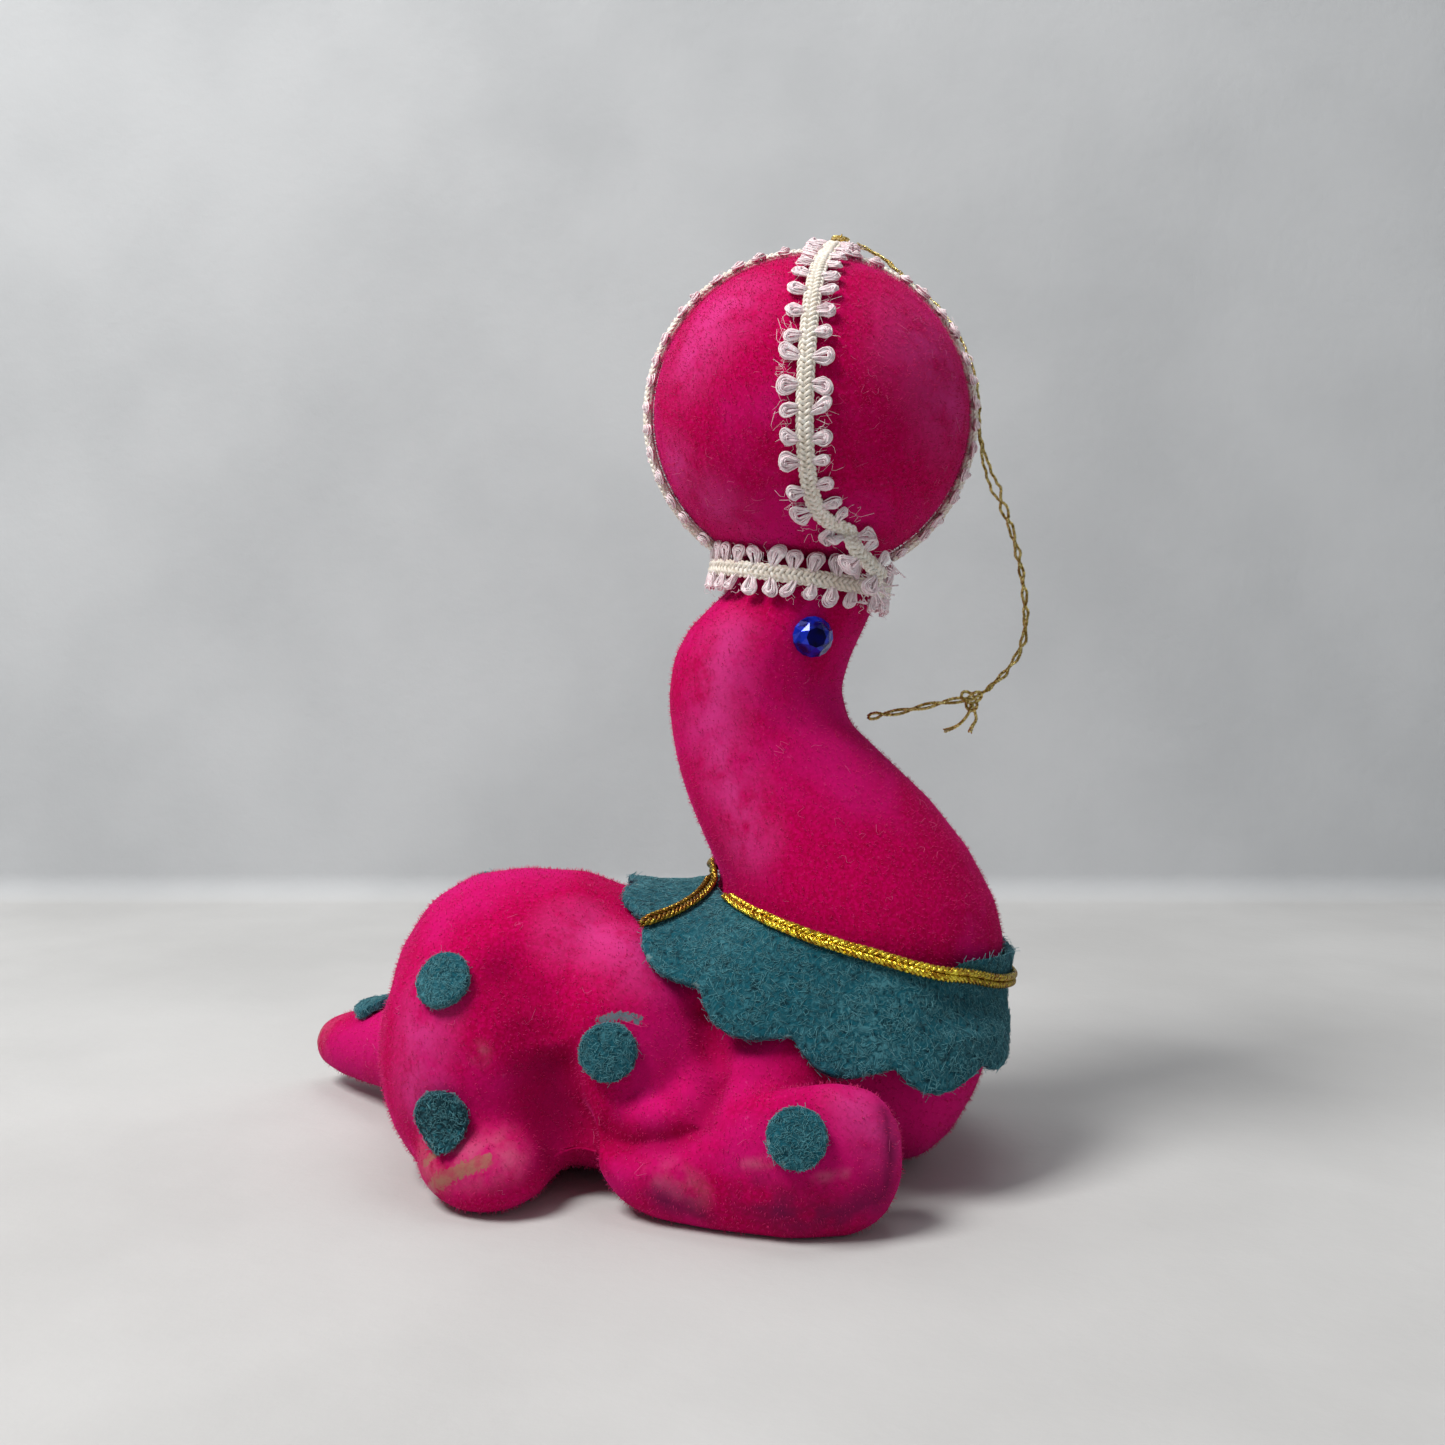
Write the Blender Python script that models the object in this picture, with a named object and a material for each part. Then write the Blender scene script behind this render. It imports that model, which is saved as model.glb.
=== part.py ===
"""Flocked circus seal, a hanging ornament that also stands, balancing a ball on its nose.

Metres, +Z up, z = 0 the flat face it rests on. +X is the way the seal faces and +Y is its left.
The body is two hollow plastic halves glued on the plane y = 0, and so is the ball. Trims of
braid, felt and cord are glued on, and a loop of thread swings on an eye at the top of the ball.
"""

import bisect
import math

import bmesh
import bpy
from mathutils import Matrix, Vector
from mathutils.bvhtree import BVHTree

MM = 0.001

# The drawing's origin is under the ball, and the part's origin is under the middle of its box.
BASE = "ornament_base"
BASE_FORWARD = 20.3 * MM

# Overall sizes of the seal's body. The outlines below are drawn at these sizes.
DRAWN_LENGTH, DRAWN_WIDTH, DRAWN_HEIGHT = 90 * MM, 54 * MM, 70 * MM
BODY_LENGTH = 90 * MM
BODY_WIDTH = 54 * MM
BODY_HEIGHT = 70 * MM
SHELL_WALL = 1.4 * MM
SEAM_GAP = 0.3 * MM

BALL_RADIUS = 18.5 * MM
BALL_WALL = 1.3 * MM
HEAD_RIM_RADIUS = 8.5 * MM
HEAD_RIM_HEIGHT = 69.4 * MM
BALL_FORWARD = -0.3 * MM

# Trims.
GAP = 0.3 * MM
BRAID_WIDTH = 6.2 * MM
BRAID_CORE_WIDTH = 2.2 * MM
BRAID_LOOP_THICKNESS = 0.4 * MM
BRAID_CORE_THICKNESS = 0.8 * MM
FELT_THICKNESS = 1.1 * MM
DOT_DIAMETER = 6.1 * MM
PAD_FALL = 1.2 * MM
PAD_REACH = 6 * MM
EYE_DIAMETER = 4.7 * MM
EYE_HEIGHT = 1.7 * MM
EYE_LIFT = 0.55 * MM
EYE_SIDES = 16
COLLAR_CORD_DIAMETER = 1.7 * MM
CORD_CLEARANCE = 0.5 * MM
SCALLOPS = 13
SCALLOP_DEPTH = 0.2
SCALLOP_SHIFT = 0.037

# Hanging thread.
THREAD_DIAMETER = 0.5 * MM
KNOT_DIAMETER = 1.6 * MM
STRAND_GAP = 0.35 * MM
THREAD_EYE_RADIUS = 0.9 * MM
THREAD_EYE_RINGS = 16

# Mesh sizes of the moulded skin and its cavity.
SKIN_VOXEL = 0.9 * MM
SKIN_FACES = 2300
CAVITY_VOXEL = 1.3 * MM
CAVITY_FACES = 700
FAR = 200 * MM

STRETCH = Vector(
    (BODY_LENGTH / DRAWN_LENGTH, BODY_WIDTH / DRAWN_WIDTH, BODY_HEIGHT / DRAWN_HEIGHT)
)
BALL_CENTRE = Vector(
    (
        BALL_FORWARD,
        0.0,
        HEAD_RIM_HEIGHT * STRETCH.z + math.sqrt((BALL_RADIUS + GAP) ** 2 - HEAD_RIM_RADIUS**2),
    )
)

# Trunk, tail to chest: x, height of the centre, half height, half width, sideways shift (mm).
TRUNK = (
    (-49.0, 14.5, 4.0, 4.0, -1.5),
    (-47.8, 14.7, 10.0, 10.0, -1.5),
    (-44.6, 15.2, 14.4, 14.8, -1.5),
    (-40.0, 15.8, 16.6, 18.0, -1.5),
    (-34.5, 16.0, 17.1, 18.8, -1.2),
    (-27.0, 15.8, 16.8, 18.8, -0.6),
    (-22.5, 15.3, 15.4, 18.8, -0.3),
    (-18.0, 14.8, 14.6, 18.8, 0.0),
    (-8.0, 15.0, 15.2, 19.0, 0.0),
    (4.0, 14.5, 15.0, 19.0, 0.0),
    (11.5, 14.0, 14.2, 17.6, 0.0),
    (15.0, 14.5, 12.0, 15.4, 0.0),
    (18.0, 15.5, 8.6, 11.4, 0.0),
    (20.0, 16.5, 5.0, 7.0, 0.0),
    (20.8, 17.0, 2.0, 3.6, 0.0),
)

# Neck and head, from inside the chest to under the rim: back x, back z, front x, front z, half width (mm).
NECK = (
    (-13.0, 16.0, 14.0, 3.0, 14.0),
    (-12.0, 26.0, 20.6, 14.5, 17.4),
    (-10.8, 30.0, 21.2, 20.3, 16.6),
    (-10.9, 32.0, 22.4, 25.0, 16.6),
    (-12.0, 34.7, 21.5, 29.3, 15.8),
    (-13.7, 38.3, 18.3, 35.5, 14.0),
    (-15.2, 42.1, 13.8, 41.2, 12.1),
    (-16.3, 46.0, 8.8, 46.0, 10.6),
    (-17.0, 50.2, 4.4, 50.2, 9.7),
    (-17.2, 54.0, 3.3, 54.2, 9.6),
    (-16.5, 58.0, 4.5, 58.0, 9.8),
    (-14.7, 61.4, 6.1, 61.3, 9.6),
    (-11.8, 64.3, 7.3, 64.0, 9.1),
)
# The rim that the ball sits in: its centre's x, then heights with their shares of the rim's radius.
RIM_FORWARD = -0.3
RIM_LEVELS = ((66.5, 1.04), (71.0, 1.02), (74.0, 1.0))

# Swellings of each side, right one given: centre and half sizes (mm).
HAUNCH = ((-37.2, -7.5, 14.0), (12.2, 13.8, 16.0))
BELLY = ((-22.5, -8.5, 14.8), (12.5, 12.6, 14.2))

# Limbs, right side negative y for the front pair, mirrored: x, y, z, half breadth, half thickness (mm).
FRONT_FLIPPER = (
    (-25.5, -15.5, 6.0, 2.4, 2.4),
    (-23.0, -18.5, 5.9, 4.6, 4.0),
    (-17.0, -21.8, 6.0, 6.3, 4.3),
    (-10.5, -24.2, 6.4, 7.2, 4.3),
    (-4.0, -26.2, 7.0, 7.9, 4.3),
    (1.6, -26.0, 7.5, 8.1, 4.2),
    (5.2, -25.2, 7.7, 6.8, 3.7),
    (7.4, -24.6, 7.7, 3.6, 2.2),
)
UPPER_ARM = (
    (3.0, -13.0, 17.0, 7.0, 5.0),
    (-1.5, -16.0, 14.0, 7.0, 5.0),
    (-8.0, -19.0, 10.0, 7.0, 4.6),
    (-13.0, -20.3, 7.5, 5.5, 3.8),
)
NEAR_HIND_FLIPPER = (
    (-36.5, -8.0, 8.0, 9.0, 9.0),
    (-35.2, -14.0, 5.6, 8.8, 6.4),
    (-35.8, -18.0, 4.6, 8.4, 5.1),
    (-37.0, -21.3, 3.9, 6.6, 4.2),
    (-37.8, -23.2, 3.6, 3.4, 2.6),
)
FAR_HIND_FLIPPER = (
    (-42.0, 6.0, 10.0, 8.0, 8.0),
    (-47.5, 12.5, 8.2, 6.6, 6.4),
    (-53.5, 18.6, 6.8, 5.6, 5.4),
    (-59.5, 24.0, 5.8, 4.6, 4.5),
    (-63.2, 27.2, 5.3, 3.5, 3.4),
    (-64.8, 28.5, 5.1, 1.5, 1.5),
)

# Felt dots: a point to aim at and the way the felt was pressed on.
DOTS = {
    "dot_rump_right": ((-40.3, 0.0, 23.5), (0.0, 1.0, 0.0)),
    "dot_haunch_right": ((-40.0, -20.0, 10.0), (-0.05, 1.0, -0.25)),
    "dot_belly_right": ((-22.6, 0.0, 17.0), (0.0, 1.0, 0.0)),
    "dot_flipper_right": ((-3.4, 0.0, 10.8), (0.0, 1.0, 0.0)),
    "dot_rump_left": ((-40.8, 7.5, 20.0), (0.0, -0.35, -1.0)),
    "dot_haunch_left": ((-54.8, 18.6, 5.0), (0.1, -0.1, -1.0)),
    "dot_belly_left": ((-23.0, 0.0, 16.5), (0.0, -1.0, 0.0)),
    "dot_flipper_left": ((-3.0, 0.0, 9.5), (0.0, -1.0, 0.0)),
}
EYE_PLACE = (-0.9, 60.4)

# Collar: the ring under the cord and the ring of the scalloped edge, each as centre x, centre z,
# half length, half width, slope down to the front in degrees and sag at the two sides.
COLLAR_TOP = (5.4, 25.2, 16.6, 17.0, 15.5, -0.8)
COLLAR_EDGE = (-1.0, 21.0, 23.4, 22.0, 18.5, 6.0)
COLLAR_SQUARENESS = 0.72
COLLAR_STEPS = 78
COLLAR_ROWS = 3
COLLAR_EASING = 6
RING_SAMPLES = 2000

# The cord starts at the nape, goes round by the right side and ends in a tail that stands off (mm).
# Its two ends on the collar are shares of the way round, from the front by the left side.
CORD_START, CORD_END = 0.57, 1.42
CORD_STEPS = 34
CORD_TAIL = (
    (-11.6, 2.0, 32.8),
    (-12.3, -4.5, 32.3),
    (-14.3, -9.2, 31.0),
    (-16.7, -12.0, 30.0),
    (-19.4, -14.0, 29.2),
)

# Braid over the ball from the right side to the left: angle up from level, lean forwards.
CROSS_BRAID = (
    (-40, 0.0),
    (-20, -0.08),
    (10, -0.08),
    (45, -0.01),
    (75, 0.10),
    (90, 0.17),
    (110, 0.14),
    (150, 0.02),
    (200, 0.0),
)
CROSS_BRAID_END_LEANS = (0.2, 0.05)
BRAID_END_CLEARANCE = 0.6 * MM
BRAID_STEP_DEG = 8
CROSSING_SHARE = 2.1

# Neck braid: centre x and z, its tilt in degrees, how far it stands off what it lies on, its rings.
NECK_BRAID = (-0.8, 66.9, -8.0)
NECK_BRAID_LIFT = 0.5 * MM
NECK_BRAID_RINGS = 36

# Route of the two strands of thread, from the eye to the knot, and on to the far bend (mm).
THREAD_ROUTE = (
    (5.2, 1.0, 106.8),
    (8.6, 1.5, 105.1),
    (11.6, 2.3, 102.5),
    (14.7, 2.4, 99.7),
    (17.3, 2.4, 96.1),
    (19.1, 2.3, 92.0),
    (19.8, 2.2, 88.0),
    (20.0, 2.0, 84.4),
    (20.9, 1.8, 80.2),
    (22.5, 1.5, 76.2),
    (23.9, 1.2, 72.0),
    (24.8, 0.9, 67.6),
    (25.2, 0.6, 63.2),
    (24.8, 0.4, 59.4),
    (23.0, 0.2, 56.3),
    (20.3, 0.0, 53.8),
)
KNOT_PLACE = (18.7, 0.0, 52.8)
FAR_BEND_ROUTE = (
    (16.9, 0.0, 52.7),
    (14.6, 0.0, 52.3),
    (11.0, 0.0, 51.5),
    (8.0, 0.0, 51.0),
    (6.9, 0.0, 50.8),
)

PINK = (0.56, 0.0, 0.12)
IVORY = (0.78, 0.68, 0.6)
TEAL = (0.05, 0.2, 0.24)
GOLD = (0.75, 0.5, 0.06)
BLUE = (0.0, 0.02, 0.5)


def clear_scene():
    for obj in list(bpy.data.objects):
        bpy.data.objects.remove(obj, do_unlink=True)


def material(name, colour, roughness, metallic=0.0):
    made = bpy.data.materials.new(name)
    made.use_nodes = True
    shader = made.node_tree.nodes["Principled BSDF"]
    shader.inputs["Base Color"].default_value = (*colour, 1.0)
    shader.inputs["Roughness"].default_value = roughness
    shader.inputs["Metallic"].default_value = metallic
    return made


def add_empty(name, place, parent=None):
    empty = bpy.data.objects.new(name, None)
    bpy.context.scene.collection.objects.link(empty)
    empty.location = place
    empty.parent = parent
    return empty


def link(name, data, finish=None):
    """Adds an object that stands on the ornament's own base."""
    obj = bpy.data.objects.new(name, data)
    bpy.context.scene.collection.objects.link(obj)
    obj.parent = bpy.data.objects[BASE]
    if finish:
        data.materials.append(material(name, *finish))
    return obj


def object_from(name, bm, finish=None, smooth=True):
    bmesh.ops.recalc_face_normals(bm, faces=bm.faces)
    mesh = bpy.data.meshes.new(name)
    bm.to_mesh(mesh)
    bm.free()
    if smooth:
        mesh.shade_smooth()
    return link(name, mesh, finish)


def helper(obj):
    """Marks a cutter or guide, which isn't a piece of the ornament."""
    obj.hide_render = True
    obj.display_type = "WIRE"
    return obj


def evaluated_mesh(obj):
    graph = bpy.context.evaluated_depsgraph_get()
    return bpy.data.meshes.new_from_object(obj.evaluated_get(graph))


def boolean(obj, other, operation):
    cut = obj.modifiers.new(operation.title(), "BOOLEAN")
    cut.operation = operation
    cut.solver = "EXACT"
    cut.object = other


def drawn(x, y, z):
    """A point of the drawn outlines, at the body's size."""
    return Vector((x * MM * STRETCH.x, y * MM * STRETCH.y, z * MM * STRETCH.z))


def bridge_rings(bm, rings, closed=False):
    """Skins a list of rings of equal counts, and caps the two ends unless it closes on itself."""
    made = [[bm.verts.new(point) for point in ring] for ring in rings]
    pairs = list(zip(made, made[1:]))
    if closed:
        pairs.append((made[-1], made[0]))
    for one, two in pairs:
        for i in range(len(one)):
            j = (i + 1) % len(one)
            bm.faces.new((one[i], one[j], two[j], two[i]))
    if not closed:
        bm.faces.new(made[0])
        bm.faces.new(made[-1][::-1])


def ellipse(centre, along, across, count=24):
    turns = (2 * math.pi * i / count for i in range(count))
    return [centre + along * math.cos(t) + across * math.sin(t) for t in turns]


def add_ball(bm, centre, radii, segments=24, rings=12):
    size = Matrix.Diagonal((*radii, 1.0))
    bmesh.ops.create_uvsphere(
        bm, u_segments=segments, v_segments=rings, radius=1.0, matrix=Matrix.Translation(centre) @ size
    )


def add_trunk(bm):
    rings = []
    for x, z, half_height, half_width, shift in TRUNK:
        centre = drawn(x, shift, z)
        rings.append(ellipse(centre, drawn(0, 0, half_height), drawn(0, half_width, 0)))
    bridge_rings(bm, rings)


def add_neck(bm):
    rings = []
    for back_x, back_z, front_x, front_z, half_width in NECK:
        back, front = drawn(back_x, 0, back_z), drawn(front_x, 0, front_z)
        rings.append(ellipse((back + front) / 2, (front - back) / 2, drawn(0, half_width, 0)))
    for z, share in RIM_LEVELS:
        reach = HEAD_RIM_RADIUS * share
        centre = drawn(RIM_FORWARD, 0, z)
        rings.append(ellipse(centre, Vector((reach, 0, 0)), Vector((0, reach, 0))))
    bridge_rings(bm, rings)


def add_limb(bm, stations, side, upright):
    """A tapering limb. An upright one is deepest in z, and a flat one is widest in x and y."""
    flip = Vector((1, side, 1))
    centres = [drawn(*station[:3]) * flip for station in stations]
    rings = []
    for i, (_, _, _, broad, thin) in enumerate(stations):
        ahead = centres[min(i + 1, len(centres) - 1)] - centres[max(i - 1, 0)]
        level = Vector((-ahead.y, ahead.x, 0)).normalized()
        up = ahead.cross(level).normalized()
        wide, tall = (thin, broad) if upright else (broad, thin)
        rings.append(ellipse(centres[i], level * wide * MM, up * tall * MM, 16))
    bridge_rings(bm, rings)


def rough_body():
    """All the overlapping forms of the seal, in one object."""
    bm = bmesh.new()
    add_trunk(bm)
    add_neck(bm)
    for side in (1, -1):
        flip = Vector((1, side, 1))
        for centre, radii in (HAUNCH, BELLY):
            add_ball(bm, drawn(*centre) * flip, drawn(*radii))
        add_limb(bm, FRONT_FLIPPER, side, upright=True)
        add_limb(bm, UPPER_ARM, side, upright=True)
    add_limb(bm, NEAR_HIND_FLIPPER, 1, upright=False)
    add_limb(bm, FAR_HIND_FLIPPER, 1, upright=False)
    return helper(object_from("body_forms", bm))


def reduce_to(obj, faces):
    """Adds a Decimate that leaves about this many triangles."""
    now = evaluated_mesh(obj)
    now.calc_loop_triangles()
    total = len(now.loop_triangles)
    thin = obj.modifiers.new("Decimate", "DECIMATE")
    thin.ratio = min(1.0, faces / total)


def moulded_skin():
    """The outside of the body, with its forms melted together, and the cavity inside it."""
    forms = rough_body()
    melt = forms.modifiers.new("Remesh", "REMESH")
    melt.mode = "VOXEL"
    melt.voxel_size = SKIN_VOXEL
    soften = forms.modifiers.new("Smooth", "SMOOTH")
    soften.iterations = 5
    fine = evaluated_mesh(forms)

    skin = helper(link("body_skin", fine.copy()))
    reduce_to(skin, SKIN_FACES)
    skin_mesh = evaluated_mesh(skin)
    skin_mesh.shade_smooth()

    inside = fine
    for vert, normal in zip(inside.vertices, [n.vector.copy() for n in inside.vertex_normals]):
        vert.co -= normal * SHELL_WALL
    cavity = helper(link("body_cavity_forms", inside))
    melt = cavity.modifiers.new("Remesh", "REMESH")
    melt.mode = "VOXEL"
    melt.voxel_size = CAVITY_VOXEL
    soften = cavity.modifiers.new("Smooth", "SMOOTH")
    soften.iterations = 3
    reduce_to(cavity, CAVITY_FACES)
    return skin_mesh, evaluated_mesh(cavity)


def half_space(name, side, floor):
    """A box that holds everything on one side of the seam and above a level."""
    bm = bmesh.new()
    size = Matrix.Diagonal((2 * FAR, FAR, 2 * FAR, 1.0))
    middle = Vector((0, side * (FAR / 2 + SEAM_GAP / 2), floor + FAR))
    bmesh.ops.create_cube(bm, size=1.0, matrix=Matrix.Translation(middle) @ size)
    return helper(object_from(name, bm, smooth=False))


def sphere_cutter(name, radius, segments=48):
    bm = bmesh.new()
    add_ball(bm, BALL_CENTRE, (radius,) * 3, segments, segments // 2)
    return helper(object_from(name, bm))


def make_body(skin_mesh, cavity_mesh):
    """Two hollow halves with a flat underside and a dished rim that the ball sits in."""
    cavity = helper(link("body_cavity", cavity_mesh))
    bm = bmesh.new()
    size = Matrix.Diagonal((2 * FAR, 2 * FAR, 2 * FAR, 1.0))
    bmesh.ops.create_cube(
        bm, size=1.0, matrix=Matrix.Translation((0, 0, SHELL_WALL + FAR)) @ size
    )
    above = helper(object_from("cavity_floor", bm, smooth=False))
    boolean(cavity, above, "INTERSECT")
    boolean(cavity, sphere_cutter("seat_wall", BALL_RADIUS + GAP + SHELL_WALL), "DIFFERENCE")
    seat = sphere_cutter("ball_seat", BALL_RADIUS + GAP)
    for name, side in (("body_right_half", -1), ("body_left_half", 1)):
        half = link(name, skin_mesh.copy(), (PINK, 0.95))
        boolean(half, half_space(name + "_side", side, 0.0), "INTERSECT")
        boolean(half, cavity, "DIFFERENCE")
        boolean(half, seat, "DIFFERENCE")


def make_ball():
    """Two hollow halves of the ball, meeting on the seam plane."""
    hollow = sphere_cutter("ball_hollow", BALL_RADIUS - BALL_WALL, 24)
    for name, side in (("ball_right_half", -1), ("ball_left_half", 1)):
        bm = bmesh.new()
        add_ball(bm, BALL_CENTRE, (BALL_RADIUS,) * 3, 36, 18)
        half = object_from(name, bm, (PINK, 0.95))
        boolean(half, half_space(name + "_side", side, 0.0), "INTERSECT")
        boolean(half, hollow, "DIFFERENCE")


def through(points, steps):
    """Points on a smooth curve through the given ones, with so many steps between neighbours."""
    ends = [points[0] * 2 - points[1], *points, points[-1] * 2 - points[-2]]
    made = []
    for a, b, c, d in zip(ends, ends[1:], ends[2:], ends[3:]):
        for i in range(steps):
            t = i / steps
            made.append(
                (
                    b * 2
                    + (c - a) * t
                    + (a * 2 - b * 5 + c * 4 - d) * t * t
                    + (b * 3 - a - c * 3 + d) * t**3
                )
                / 2
            )
    made.append(points[-1].copy())
    return made


def strip(frames, closed=False):
    """A flat braid with a raised core, swept along frames of point, outward way, sideways way."""
    half, core = BRAID_WIDTH / 2, BRAID_CORE_WIDTH / 2
    low, high = BRAID_LOOP_THICKNESS, BRAID_CORE_THICKNESS
    profile = (
        (-half, 0),
        (half, 0),
        (half, low),
        (core, low),
        (core, high),
        (-core, high),
        (-core, low),
        (-half, low),
    )
    bm = bmesh.new()
    rings = [
        [point + side * across + out * height for across, height in profile]
        for point, out, side in frames
    ]
    bridge_rings(bm, rings, closed)
    return bm


def on_ball(up_deg, lean):
    """Unit vector from the ball's centre: 0 is the seal's right side and 90 is the top."""
    angle = math.radians(up_deg)
    return Vector((lean, -math.cos(angle), math.sin(angle))).normalized()


def ball_frames(ways, height):
    frames = []
    for i, way in enumerate(ways):
        ahead = ways[min(i + 1, len(ways) - 1)] - ways[max(i - 1, 0)]
        level = BALL_RADIUS + GAP + height(way)
        frames.append((BALL_CENTRE + way * level, way, ahead.cross(way).normalized()))
    return frames


def lowest_braid_deg():
    """How far below level a braid on the ball ends, just clear of the neck braid."""
    _, centre_z, slope = NECK_BRAID
    neck_top = drawn(0, 0, centre_z).z + BRAID_WIDTH / 2
    neck_top += HEAD_RIM_RADIUS * math.sin(math.radians(abs(slope)))
    drop = BALL_CENTRE.z - neck_top - BRAID_END_CLEARANCE
    return math.degrees(math.asin(drop / (BALL_RADIUS + GAP)))


def crossing_way():
    return on_ball(90, 0.17)


def make_ball_braids():
    """One braid over the ball in the seam plane, and one across it that passes over the first."""
    low = lowest_braid_deg()
    first, last = -low, 180 + low
    count = round((last - first) / BRAID_STEP_DEG)
    ways = []
    for i in range(count + 1):
        angle = math.radians(first + (last - first) * i / count)
        ways.append(Vector((math.cos(angle), 0, math.sin(angle))))
    bm = strip(ball_frames(ways, lambda way: 0.0))
    object_from("ball_braid_long", bm, (IVORY, 0.7), smooth=False)

    rise = BRAID_CORE_THICKNESS + GAP
    reach = (BRAID_WIDTH / 2 + GAP) / BALL_RADIUS

    def over(way):
        away = way.angle(crossing_way()) / reach
        return rise * min(1.0, max(0.0, CROSSING_SHARE - away))

    start_lean, end_lean = CROSS_BRAID_END_LEANS
    between = [(up, lean) for up, lean in CROSS_BRAID if first < up < last]
    knots = [on_ball(*knot) for knot in ((first, start_lean), *between, (last, end_lean))]
    ways = [way.normalized() for way in through(knots, 3)]
    bm = strip(ball_frames(ways, over))
    object_from("ball_braid_cross", bm, (IVORY, 0.7), smooth=False)


def clear_of(tree, point, gap):
    """The point, moved out of a closed skin until it stands this far outside."""
    place, normal, _, _ = tree.find_nearest(point)
    if (point - place).dot(normal) >= gap:
        return point
    return place + normal * gap


def reach_clear(tree, start, out):
    """How far out from a point of the neck's axis a ray is clear of both the skin and the ball."""
    place, _, _, _ = tree.ray_cast(start + out * FAR, -out)
    reach = (place - start).dot(out) if place else 0.0
    from_ball = start - BALL_CENTRE
    along = from_ball.dot(out)
    inside = along**2 - from_ball.length_squared + BALL_RADIUS**2
    return max(reach, math.sqrt(max(inside, 0.0)) - along if inside > 0 else 0.0)


def make_neck_braid(tree):
    """The braid round the joint of head and ball, flared so that it lies on both."""
    centre_x, centre_z, slope = NECK_BRAID
    centre = drawn(centre_x, 0, centre_z)
    forward = Vector((math.cos(math.radians(slope)), 0, math.sin(math.radians(slope))))
    up = Vector((-forward.z, 0, forward.x))
    frames = []
    for i in range(NECK_BRAID_RINGS):
        turn = 2 * math.pi * i / NECK_BRAID_RINGS
        out = forward * math.cos(turn) + Vector((0, 1, 0)) * math.sin(turn)
        reaches = [
            reach_clear(tree, centre + up * level * BRAID_WIDTH / 2, out) + NECK_BRAID_LIFT
            for level in (-1, -0.5, 0, 0.5, 1)
        ]
        low, high = max(reaches[:3]), max(reaches[2:])
        side = (up * BRAID_WIDTH + out * (high - low)).normalized()
        flared = side.cross(out).cross(side).normalized()
        frames.append((centre + out * (low + high) / 2, flared, side))
    object_from("neck_braid", strip(frames, closed=True), (IVORY, 0.7), smooth=False)


def cast(tree, aim, way):
    place, normal, _, _ = tree.ray_cast(aim - way * FAR, way)
    return place, normal


def pad_on(tree, aim, way, radius, thickness, rings=2, sides=14):
    """A disc of felt pressed onto the skin: both its faces follow the skin under it."""
    way = way.normalized()
    centre, normal = cast(tree, aim, way)
    side = normal.orthogonal().normalized()
    other = normal.cross(side)
    bm = bmesh.new()
    layers = []
    for lift in (GAP, GAP + thickness):
        lines = []
        for ring in range(1, rings + 1):
            reach = radius * ring / rings
            line = []
            for i in range(sides):
                turn = 2 * math.pi * i / sides
                flat = centre + (side * math.cos(turn) + other * math.sin(turn)) * reach
                place, _, _, _ = tree.ray_cast(flat + normal * PAD_REACH, -normal)
                fall = (flat - place).dot(normal) if place else PAD_FALL
                fall = min(fall, PAD_FALL * (ring / rings) ** 2)
                line.append(bm.verts.new(flat + normal * (lift - fall)))
            lines.append(line)
        middle = bm.verts.new(centre + normal * lift)
        layers.append((middle, lines))
    for middle, lines in layers:
        for i in range(sides):
            j = (i + 1) % sides
            bm.faces.new((middle, lines[0][i], lines[0][j]))
            for inner, outer in zip(lines, lines[1:]):
                bm.faces.new((inner[i], outer[i], outer[j], inner[j]))
    for i in range(sides):
        j = (i + 1) % sides
        low, high = layers[0][1][-1], layers[1][1][-1]
        bm.faces.new((low[i], high[i], high[j], low[j]))
    return bm


def make_dots(tree):
    for name, (aim, way) in DOTS.items():
        bm = pad_on(tree, drawn(*aim), Vector(way), DOT_DIAMETER / 2, FELT_THICKNESS)
        object_from(name, bm, (TEAL, 0.95))


def make_eyes(tree):
    """Flat-backed cut stones."""
    x, z = EYE_PLACE
    for name, side in (("eye_right", -1), ("eye_left", 1)):
        place, normal = cast(tree, drawn(x, 0, z), Vector((0, -side, 0)))
        turn = normal.to_track_quat("Z", "Y").to_matrix().to_4x4()
        base = place + normal * EYE_LIFT
        bm = bmesh.new()
        radius = EYE_DIAMETER / 2
        levels = ((0.94, 0.0), (1.0, 0.25), (0.78, 0.7), (0.42, 1.0))
        rings = []
        for wide, level in levels:
            reach = radius * wide
            centre = Vector((0, 0, EYE_HEIGHT * level))
            rings.append(ellipse(centre, Vector((reach, 0, 0)), Vector((0, reach, 0)), EYE_SIDES))
        bridge_rings(bm, rings)
        bm.transform(Matrix.Translation(base) @ turn)
        object_from(name, bm, (BLUE, 0.1), smooth=False)


def squared(value):
    return math.copysign(abs(value) ** COLLAR_SQUARENESS, value)


def ring_point(ring, turn):
    x, z, half_length, half_width, slope, sag = ring
    angle = math.radians(slope)
    forward = Vector((math.cos(angle), 0, -math.sin(angle)))
    place = Vector((x, 0, z)) + forward * half_length * squared(math.cos(turn))
    place += Vector((0, half_width, 0)) * squared(math.sin(turn))
    place.z -= sag * math.sin(turn) ** 2
    return drawn(*place)


def even_turns(ring, count):
    """Turns, from the front by the left side, that are evenly spaced along a ring."""
    fine = [2 * math.pi * i / RING_SAMPLES for i in range(RING_SAMPLES + 1)]
    lengths = [0.0]
    for one, two in zip(fine, fine[1:]):
        lengths.append(lengths[-1] + (ring_point(ring, two) - ring_point(ring, one)).length)
    marks = [lengths[-1] * i / count for i in range(count)]
    return [fine[bisect.bisect_left(lengths, mark)] for mark in marks]


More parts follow.
